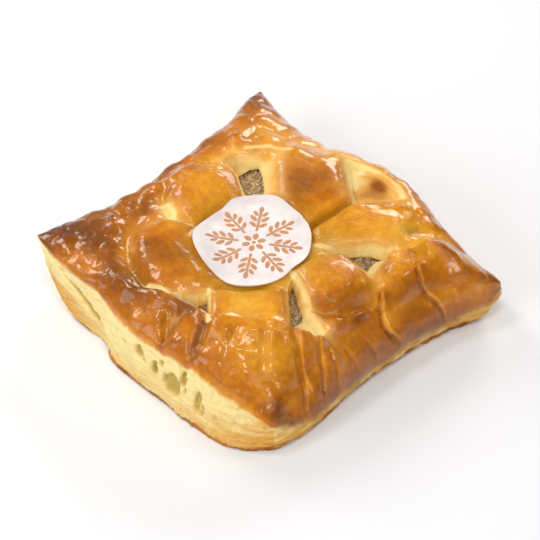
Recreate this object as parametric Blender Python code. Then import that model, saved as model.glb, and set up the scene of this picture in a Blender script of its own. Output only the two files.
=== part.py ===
"""Square scallop puff pastry with a slashed lid, its filling and the wafer disc on top.

The pastry lies flat on its base. X runs along the tall cut front, Y runs to the back, +Z is up.
Lengths are in millimetres, and become metres where a mesh is made.
"""

import math

import bmesh
import bpy
import numpy as np

MM = 0.001
ORIGIN = (1.4, -2.8)  # middle of the outline below, which becomes the object's origin

# Tips of the lid: plan position and height.
TIP_LEFT = (-59.8, -51.9, 25.0)
TIP_NEAR = (48.5, -48.0, 12.0)
TIP_RIGHT = (62.3, 49.3, 14.0)
TIP_FAR = (-57.5, 54.6, 21.0)

# Each side from tip to tip: share of the way, how far the lid's brow stands out from the
# straight line between the tips, the brow's height, and how far the foot stands out.
FRONT_SIDE = (
    (0.00, 0.0, 25.0, 0.0),
    (0.07, 2.0, 25.2, 3.0),
    (0.14, 3.2, 25.0, 4.4),
    (0.24, 3.8, 24.8, 4.6),
    (0.32, 4.4, 24.6, 4.8),
    (0.39, 6.4, 24.2, 8.6),
    (0.50, 8.6, 24.0, 10.0),
    (0.61, 7.6, 24.0, 10.0),
    (0.72, 5.8, 23.0, 10.4),
    (0.80, 5.2, 20.5, 10.6),
    (0.88, 3.6, 17.0, 9.4),
    (0.95, 1.4, 14.0, 5.4),
    (1.00, 0.0, 12.0, 0.0),
)
RIGHT_SIDE = (
    (0.00, 0.0, 12.0, 0.0),
    (0.07, -2.4, 14.5, 0.6),
    (0.18, -5.6, 18.0, -0.4),
    (0.31, -8.2, 20.5, -2.8),
    (0.43, -9.6, 21.0, -4.6),
    (0.54, -10.2, 21.0, -5.0),
    (0.65, -9.8, 20.5, -5.4),
    (0.75, -8.0, 19.8, -4.6),
    (0.85, -4.8, 18.2, -3.0),
    (0.93, -1.6, 16.4, 0.2),
    (1.00, 0.0, 14.4, 0.0),
)
BACK_SIDE = (
    (0.00, 0.0, 21.0, 0.0),
    (0.10, -2.6, 20.5, -2.2),
    (0.22, -5.0, 21.5, -3.6),
    (0.34, -4.6, 23.5, -3.2),
    (0.44, -1.6, 25.5, -2.0),
    (0.54, 0.6, 26.5, -0.8),
    (0.64, 0.2, 26.0, -0.8),
    (0.75, -2.2, 24.5, -1.5),
    (0.85, -3.4, 21.5, -2.0),
    (0.94, -1.8, 17.0, -1.0),
    (1.00, 0.0, 14.0, 0.0),
)
LEFT_SIDE = (
    (0.00, 0.0, 25.0, 0.0),
    (0.08, -1.6, 25.0, -1.4),
    (0.18, -4.6, 24.5, -3.4),
    (0.30, -7.6, 24.5, -6.0),
    (0.42, -8.4, 24.5, -6.5),
    (0.55, -7.6, 24.0, -6.0),
    (0.68, -6.6, 23.0, -5.0),
    (0.80, -4.6, 22.0, -3.6),
    (0.92, -0.9, 21.2, -1.2),
    (1.00, 0.0, 21.0, 0.0),
)
FRONT_BELLY, RIGHT_BELLY, BACK_BELLY, LEFT_BELLY = 0.8, 3.2, 2.6, 2.2
FOOT_INSET = {"left": 1.2, "near": -0.8, "right": 0.6, "far": 2.0}
TIP_LIFT = {"left": 19.0, "near": 0.0, "right": 8.0, "far": 14.0}
TIP_UNDERCUT = {"left": 0.24, "near": 0.10, "right": 0.15, "far": 0.20}

# The lid swells from the brows to this height.
CROWN_HEIGHT = 29.8
CROWN_SHOULDER = 5.0
CROWN_SOFTNESS = 0.62
HUB_CENTRE = (-0.8, -7.8)
HUB_RADIUS = 24.0
HUB_DEPTH = 0.6

# Puffed places of the lid: x, y, half length, half width, turn in degrees, height.
PUFFS = (
    (-33.0, 1.0, 9.0, 8.0, 0, 1.6),
    (-12.0, 32.0, 10.0, 8.0, -50, 1.2),
    (25.0, 32.0, 15.0, 6.0, 50, 0.6),
    (31.5, -1.5, 9.0, 7.0, 10, 3.4),
    (17.0, -28.0, 7.0, 7.5, -45, 1.4),
    (-24.0, -25.0, 9.0, 8.0, 35, 2.2),
    (-45.0, -36.0, 9.0, 7.0, 40, 0.8),
    (-36.0, 38.0, 10.0, 7.0, -45, -1.6),
    (37.0, 40.0, 12.0, 6.0, -5, 0.6),
    (47.0, 32.0, 6.0, 8.0, 40, 0.6),
    (11.5, -50.0, 4.5, 6.0, 0, 1.4),
    (24.0, -45.0, 6.0, 6.0, 30, 1.0),
)

# Ridges (height above 0) and valleys (below 0) of the lid: line, half width, height.
CREASES = (
    (((13, -43), (22, -35), (31, -27.5), (40, -20), (44.5, -12), (45, -1), (43.5, 8)), 5.0, 2.4),
    (((-48, -20), (-46.5, -6), (-46.5, 10), (-48, 24)), 4.0, 0.8),
    (((-8, 45), (4, 47), (16, 47), (28, 45)), 4.5, 1.6),
    (((36, 24), (42, 15), (43.5, 6)), 4.0, 1.2),
    (((-40, -24), (-36, -31), (-28, -36.5), (-17, -42.5), (-6, -43.5)), 3.4, -3.4),
    (((-12, -44), (-2, -42.5), (8, -42), (15, -37.5)), 3.0, -2.4),
    (((14, -36.5), (24, -29.5), (32, -24)), 3.0, -2.6),
    (((33, -14.5), (39, -11), (42, -5)), 3.0, -1.6),
    (((5.6, -60), (5.8, -55), (4.4, -49)), 2.4, -2.4),
    (((17.4, -60), (17.6, -53), (15.4, -46)), 2.4, -2.2),
    (((52, 10), (43, 10.5), (38, 15)), 2.4, -1.3),
    (((54, 27), (46, 28.5), (37, 30)), 2.4, -1.2),
)

# Flaps that stand above what is beside them: line, step up to the right of its run,
# how far the step reaches on both sides, and the width of its face.
FLAPS = (
    (((9.4, 31.5), (9.0, 21.0), (9.2, 11.0)), -1.4, 7.0, 3.0),
    (((5.2, -32.5), (10.5, -26.6), (15.6, -22.2), (21.6, -15.2)), 1.4, 6.0, 4.0),
    (((18.6, -4.4), (18.9, 0.6), (18.4, 6.0)), 2.4, 8.0, 2.2),
    (((-20.8, -16.8), (-17.2, -25.5), (-10.0, -32.2), (2.6, -34.6)), 1.6, 8.0, 5.0),
)

# Slashes through the lid: outline, run counter-clockwise, and how far its cut faces slope in.
SLASHES = {
    "far": (((-38, 12.4), (-28, 12.8), (-18.6, 5.6), (-11, 13.6), (-27.4, 28.6), (-34, 25.4), (-38, 20.4)), 2.4),
    "right": (((15.4, 7), (23, 10.6), (29, 11.4), (34.8, 14.2), (35.6, 21.4), (32, 24), (27, 23), (18.7, 15.2)), 2.2),
    "near": (((18.6, -4.4), (20.8, -13.2), (33, -24.4), (38.6, -20), (44, -15.8), (43.6, -13), (31.4, -13.2)), 2.0),
    "front": (((-6, -42.4), (1, -41.4), (7.4, -41.6), (11.2, -39.4), (3.1, -34)), 1.2),
    "left": (((-40.2, -16.2), (-30.2, -19), (-26.6, -15), (-31, -10.6), (-39.6, -11)), 1.4),
}
SLASH_DEPTH = 19.0
BACK_SLASH = ((-6.6, 45.0), (9.4, 30.4), (22.0, 45.2), (15.6, 47.6), (3.8, 48.2))
BACK_SLASH_SLOPE = 1.6
BACK_SLASH_FLOOR = (23.5, 29.2)  # height of its dough floor at the deep and at the shallow end
SURFACE_HEIGHT = 31.0
ABOVE_LID = 45.0

# The chamber under the lid, and the filling in it.
LID_THICKNESS = 4.6
CHAMBER_CENTRE = (0.8, -4.0)
CHAMBER_HALF_SIZE = 40.5
CHAMBER_FLOOR = 9.0
CHAMBER_ROOF_FALL = 6.0
FIT_GAP = 0.3
FILLING_LUMP = 1.4
FILLING_LUMP_PITCH = 9.0

# The wafer disc, draped over the hub; the flap beside it cuts its round edge short.
WAFER_CENTRE = (-0.8, -7.8)
WAFER_RADIUS = 20.4
WAFER_CUT_SHORT = 17.6
WAFER_THICKNESS = 0.7

PASTRY_COLUMNS, PASTRY_ROWS = 56, 5
CHAMBER_COLUMNS = 20
WAFER_COLUMNS = 18


def clear_scene():
    for item in list(bpy.data.objects):
        bpy.data.objects.remove(item)


def new_collection(name):
    collection = bpy.data.collections.new(name)
    bpy.context.scene.collection.children.link(collection)
    return collection


def new_material(name, colour, roughness):
    material = bpy.data.materials.new(name)
    material.use_nodes = True
    shader = material.node_tree.nodes["Principled BSDF"]
    shader.inputs["Base Color"].default_value = (*colour, 1.0)
    shader.inputs["Roughness"].default_value = roughness
    shader.inputs["Metallic"].default_value = 0.0
    return material


def smoothstep(low, high, value):
    share = np.clip((value - low) / (high - low), 0.0, 1.0)
    return share * share * (3.0 - 2.0 * share)


def through_stations(stations, column, share):
    """Smooth curve through one column of a side's stations."""
    knots = np.array([station[0] for station in stations])
    values = np.array([station[column] for station in stations])
    slopes = np.gradient(values, knots)
    index = np.clip(np.searchsorted(knots, share) - 1, 0, len(knots) - 2)
    width = knots[index + 1] - knots[index]
    u = (share - knots[index]) / width
    return (
        values[index] * (2 * u**3 - 3 * u**2 + 1)
        + values[index + 1] * (3 * u**2 - 2 * u**3)
        + slopes[index] * width * (u**3 - 2 * u**2 + u)
        + slopes[index + 1] * width * (u**3 - u**2)
    )


def distance_to_line(x, y, line):
    """Distance to a broken line, counted positive on the right of its run."""
    nearest = np.full(np.shape(x), np.inf)
    signed = np.zeros(np.shape(x))
    for (ax, ay), (bx, by) in zip(line, line[1:]):
        dx, dy = bx - ax, by - ay
        along = np.clip(((x - ax) * dx + (y - ay) * dy) / (dx * dx + dy * dy), 0.0, 1.0)
        gap = np.hypot(x - ax - along * dx, y - ay - along * dy)
        side = np.where(dy * (x - ax) - dx * (y - ay) < 0, -1.0, 1.0)
        signed = np.where(gap < nearest, side * gap, signed)
        nearest = np.minimum(gap, nearest)
    return signed


def puff(x, y, centre_x, centre_y, half_length, half_width, turn, height):
    angle = math.radians(turn)
    along = (x - centre_x) * math.cos(angle) + (y - centre_y) * math.sin(angle)
    across = (y - centre_y) * math.cos(angle) - (x - centre_x) * math.sin(angle)
    return height * np.exp(-((along / half_length) ** 2) - (across / half_width) ** 2)


def crease(x, y, line, half_width, height):
    return height * np.exp(-((distance_to_line(x, y, line) / half_width) ** 2))


def flap(x, y, line, step, reach, face):
    gap = distance_to_line(x, y, line)
    lifted = smoothstep(-face / 2, face / 2, gap)
    return step * (lifted - 0.5) * np.exp(-((gap / reach) ** 2))


def tip_at(tip, name, level):
    """Plan position of a corner, from the lid's tip (level 1) to the foot (level 0)."""
    inset = FOOT_INSET[name] * (1.0 - level)
    return tip[0] - math.copysign(1, tip[0]) * inset, tip[1] - math.copysign(1, tip[1]) * inset


def side_line(start, end, stations, outwards, belly, share, level):
    """One side of the outline at a level of the wall: 1 is the brow and 0 the foot."""
    brow_out = through_stations(stations, 1, share)
    foot_out = through_stations(stations, 3, share)
    bulge = belly * np.sin(np.pi * level) * np.sin(np.pi * share) ** 0.5
    out = foot_out + (brow_out - foot_out) * level**1.6 + bulge
    x = start[0] + (end[0] - start[0]) * share + outwards[0] * out
    y = start[1] + (end[1] - start[1]) * share + outwards[1] * out
    return x, y


def blend_sides(u, v, sides, corners):
    """Coons patch of four sides (front, back, left, right) and their four corners."""
    front, back, left, right = sides
    left_front, right_front, right_back, left_back = corners
    flat = (
        left_front * (1 - u) * (1 - v)
        + right_front * u * (1 - v)
        + right_back * u * v
        + left_back * (1 - u) * v
    )
    return (1 - v) * front + v * back + (1 - u) * left + u * right - flat


def plan_point(s, t, level):
    """Plan position over the square s, t from -1 to 1, at one level of the wall."""
    u, v = (s + 1) / 2, (t + 1) / 2
    left, near = tip_at(TIP_LEFT, "left", level), tip_at(TIP_NEAR, "near", level)
    right, far = tip_at(TIP_RIGHT, "right", level), tip_at(TIP_FAR, "far", level)
    sides = (
        side_line(left, near, FRONT_SIDE, (0, -1), FRONT_BELLY, u, level),
        side_line(far, right, BACK_SIDE, (0, 1), BACK_BELLY, u, level),
        side_line(left, far, LEFT_SIDE, (-1, 0), LEFT_BELLY, v, level),
        side_line(near, right, RIGHT_SIDE, (1, 0), RIGHT_BELLY, v, level),
    )
    corners = (left, near, right, far)
    x = blend_sides(u, v, [side[0] for side in sides], [corner[0] for corner in corners])
    y = blend_sides(u, v, [side[1] for side in sides], [corner[1] for corner in corners])
    return x, y


def lid_height(x, y, s, t):
    u, v = (s + 1) / 2, (t + 1) / 2
    brows = (
        through_stations(FRONT_SIDE, 2, u),
        through_stations(BACK_SIDE, 2, u),
        through_stations(LEFT_SIDE, 2, v),
        through_stations(RIGHT_SIDE, 2, v),
    )
    brow = blend_sides(u, v, brows, (TIP_LEFT[2], TIP_NEAR[2], TIP_RIGHT[2], TIP_FAR[2]))
    swell_s = (1 - np.abs(s) ** CROWN_SHOULDER) ** CROWN_SOFTNESS
    swell_t = (1 - np.abs(t) ** CROWN_SHOULDER) ** CROWN_SOFTNESS
    swell = swell_s * swell_t
    height = brow * (1 - swell) + CROWN_HEIGHT * swell
    hub = np.hypot(x - HUB_CENTRE[0], y - HUB_CENTRE[1]) / HUB_RADIUS
    height = height - HUB_DEPTH * np.exp(-(hub**4))
    for values in PUFFS:
        height = height + puff(x, y, *values) * swell**0.5
    for values in CREASES:
        height = height + crease(x, y, *values) * (0.35 + 0.65 * swell)
    for values in FLAPS:
        height = height + flap(x, y, *values)
    return height


def foot_height(s, t):
    """The underside lies flat, and curls up towards the raised tips."""
    corners = {"left": (-1, -1), "near": (1, -1), "right": (1, 1), "far": (-1, 1)}
    height = 0.0
    for name, (corner_s, corner_t) in corners.items():
        away = (np.abs(s - corner_s) + np.abs(t - corner_t)) / 2
        height = height + TIP_LIFT[name] * np.clip(1 - away / TIP_UNDERCUT[name], 0, 1) ** 2
    return height


def lid_over(x, y):
    """Height of the lid over a plan point, found by walking s and t until they match it."""
    s, t = x / 52.0, y / 50.0
    for _ in range(12):
        at_x, at_y = plan_point(s, t, 1.0)
        s = np.clip(s + (x - at_x) / 52.0, -1, 1)
        t = np.clip(t + (y - at_y) / 50.0, -1, 1)
    return lid_height(x, y, s, t)


def lattice(name, columns, rows, place, collection, flat_at=None):
    """A cube cut into a lattice, whose points are then placed by a rule of s, t and level."""
    shape = bmesh.new()
    bmesh.ops.create_cube(shape, size=2.0)
    for axis, pieces in enumerate((columns, columns, rows)):
        edges = [
            edge for edge in shape.edges if abs(edge.verts[0].co[axis] - edge.verts[1].co[axis]) > 1.0
        ]
        if pieces > 1:
            bmesh.ops.subdivide_edges(shape, edges=edges, cuts=pieces - 1, use_grid_fill=True)
    square = np.array([vert.co for vert in shape.verts])
    placed = place(square[:, 0], square[:, 1], (square[:, 2] + 1) / 2)
    for vert, x, y, z in zip(shape.verts, *placed):
        vert.co = ((x - ORIGIN[0]) * MM, (y - ORIGIN[1]) * MM, z * MM)
    if flat_at is not None:
        level = [f for f in shape.faces if all(abs(v.co.z - flat_at * MM) < 1e-9 for v in f.verts)]
        bmesh.ops.dissolve_faces(shape, faces=level, use_verts=True)
    return finish_mesh(name, shape, collection)


def finish_mesh(name, shape, collection):
    bmesh.ops.recalc_face_normals(shape, faces=shape.faces)
    mesh = bpy.data.meshes.new(name)
    shape.to_mesh(mesh)
    shape.free()
    item = bpy.data.objects.new(name, mesh)
    collection.objects.link(item)
    return item


def denser_outside(value):
    """Moves evenly spaced columns towards the rim, where the shape bends most."""
    return value * (1.25 - 0.25 * value**2)


def place_pastry(s, t, level):
    s, t = denser_outside(s), denser_outside(t)
    x, y = plan_point(s, t, level)
    top_x, top_y = plan_point(s, t, 1.0)
    foot = foot_height(s, t)
    return x, y, foot + (lid_height(top_x, top_y, s, t) - foot) * level


def chamber_plan(s, t, half_size):
    """A square with soft corners."""
    return (
        CHAMBER_CENTRE[0] + half_size * s * np.sqrt(1 - 0.22 * t**2),
        CHAMBER_CENTRE[1] + half_size * t * np.sqrt(1 - 0.22 * s**2),
    )


def chamber_roof(x, y, s, t):
    fall = CHAMBER_ROOF_FALL * np.maximum(np.abs(s), np.abs(t)) ** 6
    return lid_over(x, y) - LID_THICKNESS - fall


def place_chamber(s, t, level):
    x, y = chamber_plan(s, t, CHAMBER_HALF_SIZE)
    return x, y, CHAMBER_FLOOR + (chamber_roof(x, y, s, t) - CHAMBER_FLOOR) * level


def place_filling(s, t, level):
    x, y = chamber_plan(s, t, CHAMBER_HALF_SIZE - 2 * FIT_GAP)
    pitch = 2 * np.pi / FILLING_LUMP_PITCH
    lumps = np.sin(pitch * (x + 0.4 * y)) * np.sin(pitch * (y - 0.3 * x) + 1.0)
    roof = chamber_roof(x, y, s, t) - 2 * FIT_GAP - FILLING_LUMP * (1 + lumps) / 2
    floor = CHAMBER_FLOOR + FIT_GAP
    return x, y, floor + (roof - floor) * level


def place_wafer(s, t, level):
    """The square is bent to a disc, cut short beside the raised flap, and laid on the hub."""
    x = WAFER_RADIUS * s * np.sqrt(1 - t**2 / 2)
    y = WAFER_RADIUS * t * np.sqrt(1 - s**2 / 2)
    beyond = smoothstep(WAFER_CUT_SHORT - 6.0, WAFER_RADIUS, x)
    x = x - (WAFER_RADIUS - WAFER_CUT_SHORT) * beyond
    x, y = x + WAFER_CENTRE[0], y + WAFER_CENTRE[1]
    return x, y, lid_over(x, y) + FIT_GAP + 0.1 + WAFER_THICKNESS * level


def slash_cutter(name, outline, slope, floor_of, collection):
    """An outline drawn down through the lid, with faces that lean in towards the floor."""
    middle_x = sum(point[0] for point in outline) / len(outline)
    middle_y = sum(point[1] for point in outline) / len(outline)
    reach = sum(math.hypot(x - middle_x, y - middle_y) for x, y in outline) / len(outline)
    shape = bmesh.new()
    ring = [
        shape.verts.new(((x - ORIGIN[0]) * MM, (y - ORIGIN[1]) * MM, ABOVE_LID * MM))
        for x, y in outline
    ]
    face = shape.faces.new(ring)
    for shrink, height_of in ((1.0, None), (1.0 - slope / reach, floor_of)):
        grown = bmesh.ops.extrude_face_region(shape, geom=[face])
        if height_of is not None:
            bmesh.ops.delete(shape, geom=[face], context="FACES_ONLY")
        face = next(item for item in grown["geom"] if isinstance(item, bmesh.types.BMFace))
        for vert in face.verts:
            x = middle_x + (vert.co.x / MM + ORIGIN[0] - middle_x) * shrink
            y = middle_y + (vert.co.y / MM + ORIGIN[1] - middle_y) * shrink
            z = SURFACE_HEIGHT if height_of is None else height_of(y)
            vert.co = ((x - ORIGIN[0]) * MM, (y - ORIGIN[1]) * MM, z * MM)
    return finish_mesh(name, shape, collection)


def back_slash_floor(y):
    deep_y = min(point[1] for point in BACK_SLASH)
    shallow_y = max(point[1] for point in BACK_SLASH)
    deep, shallow = BACK_SLASH_FLOOR
    return deep + (shallow - deep) * (y - deep_y) / (shallow_y - deep_y)


def cut(item, cutter):
    cutter.hide_render = True
    cutter.display_type = "WIRE"
    boolean = item.modifiers.new("cut by " + cutter.name, "BOOLEAN")
    boolean.operation = "DIFFERENCE"
    boolean.solver = "EXACT"
    boolean.object = cutter


def build_pastry(parts, cutters):
    pastry = lattice("pastry", PASTRY_COLUMNS, PASTRY_ROWS, place_pastry, parts, flat_at=0.0)
    pastry.data.materials.append(new_material("glazed puff pastry", (0.75, 0.43, 0.14), 0.4))
    cut(pastry, lattice("chamber", CHAMBER_COLUMNS, 2, place_chamber, cutters, CHAMBER_FLOOR))
    for name, (outline, slope) in SLASHES.items():
        cut(pastry, slash_cutter(name + " slash", outline, slope, lambda y: SLASH_DEPTH, cutters))
    cut(pastry, slash_cutter("back slash", BACK_SLASH, BACK_SLASH_SLOPE, back_slash_floor, cutters))


def build_filling(parts):
    floor = CHAMBER_FLOOR + FIT_GAP
    filling = lattice("filling", CHAMBER_COLUMNS, 2, place_filling, parts, floor)
    filling.data.materials.append(new_material("scallop filling", (0.62, 0.50, 0.34), 0.45))


def build_wafer(parts):
    wafer = lattice("wafer_disc", WAFER_COLUMNS, 1, place_wafer, parts)
    wafer.data.materials.append(new_material("edible wafer", (0.88, 0.83, 0.85), 0.7))


def build():
    clear_scene()
    parts = new_collection("scallop puff pastry")
    cutters = new_collection("cutters")
    build_pastry(parts, cutters)
    build_filling(parts)
    build_wafer(parts)


build()
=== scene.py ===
import math
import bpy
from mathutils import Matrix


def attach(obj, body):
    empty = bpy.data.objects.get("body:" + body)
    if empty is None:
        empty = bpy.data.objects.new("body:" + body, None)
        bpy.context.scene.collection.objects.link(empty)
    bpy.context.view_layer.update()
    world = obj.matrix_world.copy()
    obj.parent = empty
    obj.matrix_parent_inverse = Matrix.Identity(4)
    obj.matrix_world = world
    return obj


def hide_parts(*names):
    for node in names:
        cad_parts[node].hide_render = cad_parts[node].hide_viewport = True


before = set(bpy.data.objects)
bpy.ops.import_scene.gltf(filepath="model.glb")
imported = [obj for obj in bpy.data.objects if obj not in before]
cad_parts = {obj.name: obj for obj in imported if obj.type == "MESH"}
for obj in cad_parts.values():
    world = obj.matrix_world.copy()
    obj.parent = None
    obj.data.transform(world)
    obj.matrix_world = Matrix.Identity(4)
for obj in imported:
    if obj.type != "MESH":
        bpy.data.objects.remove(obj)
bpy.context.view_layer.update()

from types import SimpleNamespace

import bpy
import numpy as np
from mathutils import Matrix, Vector

# Lengths are millimetres here and become metres where a mesh is made
mm = 0.001

print("outline of the pastry")

# Sides run from tip to tip: share of the way, how far the brow stands out from the line
# between the tips, the brow's height, and how far the foot stands out
outline = {
    "origin": (1.4, -2.8),
    "tipLeft": (-59.8, -51.9, 25),
    "tipNear": (48.5, -48, 12),
    "tipRight": (62.3, 49.3, 14),
    "tipFar": (-57.5, 54.6, 21),
    "front": (
        (0, 0, 25, 0),
        (0.07, 2, 25.2, 3),
        (0.14, 3.2, 25, 4.4),
        (0.24, 3.8, 24.8, 4.6),
        (0.32, 4.4, 24.6, 4.8),
        (0.39, 6.4, 24.2, 8.6),
        (0.5, 8.6, 24, 10),
        (0.61, 7.6, 24, 10),
        (0.72, 5.8, 23, 10.4),
        (0.8, 5.2, 20.5, 10.6),
        (0.88, 3.6, 17, 9.4),
        (0.95, 1.4, 14, 5.4),
        (1, 0, 12, 0),
    ),
    "right": (
        (0, 0, 12, 0),
        (0.07, -2.4, 14.5, 0.6),
        (0.18, -5.6, 18, -0.4),
        (0.31, -8.2, 20.5, -2.8),
        (0.43, -9.6, 21, -4.6),
        (0.54, -10.2, 21, -5),
        (0.65, -9.8, 20.5, -5.4),
        (0.75, -8, 19.8, -4.6),
        (0.85, -4.8, 18.2, -3),
        (0.93, -1.6, 16.4, 0.2),
        (1, 0, 14.4, 0),
    ),
    "back": (
        (0, 0, 21, 0),
        (0.1, -2.6, 20.5, -2.2),
        (0.22, -5, 21.5, -3.6),
        (0.34, -4.6, 23.5, -3.2),
        (0.44, -1.6, 25.5, -2),
        (0.54, 0.6, 26.5, -0.8),
        (0.64, 0.2, 26, -0.8),
        (0.75, -2.2, 24.5, -1.5),
        (0.85, -3.4, 21.5, -2),
        (0.94, -1.8, 17, -1),
        (1, 0, 14, 0),
    ),
    "left": (
        (0, 0, 25, 0),
        (0.08, -1.6, 25, -1.4),
        (0.18, -4.6, 24.5, -3.4),
        (0.3, -7.6, 24.5, -6),
        (0.42, -8.4, 24.5, -6.5),
        (0.55, -7.6, 24, -6),
        (0.68, -6.6, 23, -5),
        (0.8, -4.6, 22, -3.6),
        (0.92, -0.9, 21.2, -1.2),
        (1, 0, 21, 0),
    ),
    "frontBelly": 0.8, "rightBelly": 3.2, "backBelly": 2.6, "leftBelly": 2.2,
    "footInset": {"left": 1.2, "near": -0.8, "right": 0.6, "far": 2},
    "tipLift": {"left": 19, "near": 0, "right": 8, "far": 14},
    "tipUndercut": {"left": 0.24, "near": 0.1, "right": 0.15, "far": 0.2},
}


def smoothstep(low, high, value):
    share = np.clip((value - low) / (high - low), 0.0, 1.0)
    return share * share * (3.0 - 2.0 * share)


def throughStations(stations, column, share):
    knots = np.array([station[0] for station in stations])
    values = np.array([station[column] for station in stations])
    slopes = np.gradient(values, knots)
    index = np.clip(np.searchsorted(knots, share) - 1, 0, len(knots) - 2)
    width = knots[index + 1] - knots[index]
    u = (share - knots[index]) / width
    return (
        values[index] * (2 * u**3 - 3 * u**2 + 1)
        + values[index + 1] * (3 * u**2 - 2 * u**3)
        + slopes[index] * width * (u**3 - 2 * u**2 + u)
        + slopes[index + 1] * width * (u**3 - u**2)
    )


def tipAt(name, level):
    tip = outline["tip" + name.capitalize()]
    inset = outline["footInset"][name] * (1.0 - level)
    return tip[0] - math.copysign(1, tip[0]) * inset, tip[1] - math.copysign(1, tip[1]) * inset


# One side at a level of the wall, where 1 is the brow and 0 the foot
def sideLine(start, end, side, outwards, share, level):
    stations, belly = outline[side], outline[side + "Belly"]
    browOut = throughStations(stations, 1, share)
    footOut = throughStations(stations, 3, share)
    bulge = belly * np.sin(np.pi * level) * np.sin(np.pi * share) ** 0.5
    out = footOut + (browOut - footOut) * level**1.6 + bulge
    x = start[0] + (end[0] - start[0]) * share + outwards[0] * out
    y = start[1] + (end[1] - start[1]) * share + outwards[1] * out
    return x, y


# Coons patch over the four sides, in the order front, back, left, right
def blendSides(u, v, sides, corners):
    front, back, left, right = sides
    leftFront, rightFront, rightBack, leftBack = corners
    flat = (
        leftFront * (1 - u) * (1 - v)
        + rightFront * u * (1 - v)
        + rightBack * u * v
        + leftBack * (1 - u) * v
    )
    return (1 - v) * front + v * back + (1 - u) * left + u * right - flat


# Plan point over the square s, t from -1 to 1
def planPoint(s, t, level):
    u, v = (s + 1) / 2, (t + 1) / 2
    left, near = tipAt("left", level), tipAt("near", level)
    right, far = tipAt("right", level), tipAt("far", level)
    sides = (
        sideLine(left, near, "front", (0, -1), u, level),
        sideLine(far, right, "back", (0, 1), u, level),
        sideLine(left, far, "left", (-1, 0), v, level),
        sideLine(near, right, "right", (1, 0), v, level),
    )
    corners = (left, near, right, far)
    x = blendSides(u, v, [side[0] for side in sides], [corner[0] for corner in corners])
    y = blendSides(u, v, [side[1] for side in sides], [corner[1] for corner in corners])
    return x, y


def browHeight(s, t):
    u, v = (s + 1) / 2, (t + 1) / 2
    sides = (("front", u), ("back", u), ("left", v), ("right", v))
    brows = [throughStations(outline[side], 2, share) for side, share in sides]
    tips = [outline[name][2] for name in ("tipLeft", "tipNear", "tipRight", "tipFar")]
    return blendSides(u, v, brows, tips)


# The underside lies flat and curls up to the raised tips
def footHeight(s, t):
    corners = {"left": (-1, -1), "near": (1, -1), "right": (1, 1), "far": (-1, 1)}
    height = 0.0
    for name, (cornerS, cornerT) in corners.items():
        away = (np.abs(s - cornerS) + np.abs(t - cornerT)) / 2
        share = np.clip(1 - away / outline["tipUndercut"][name], 0, 1)
        height = height + outline["tipLift"][name] * share**2
    return height


print("relief of the lid")

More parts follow.
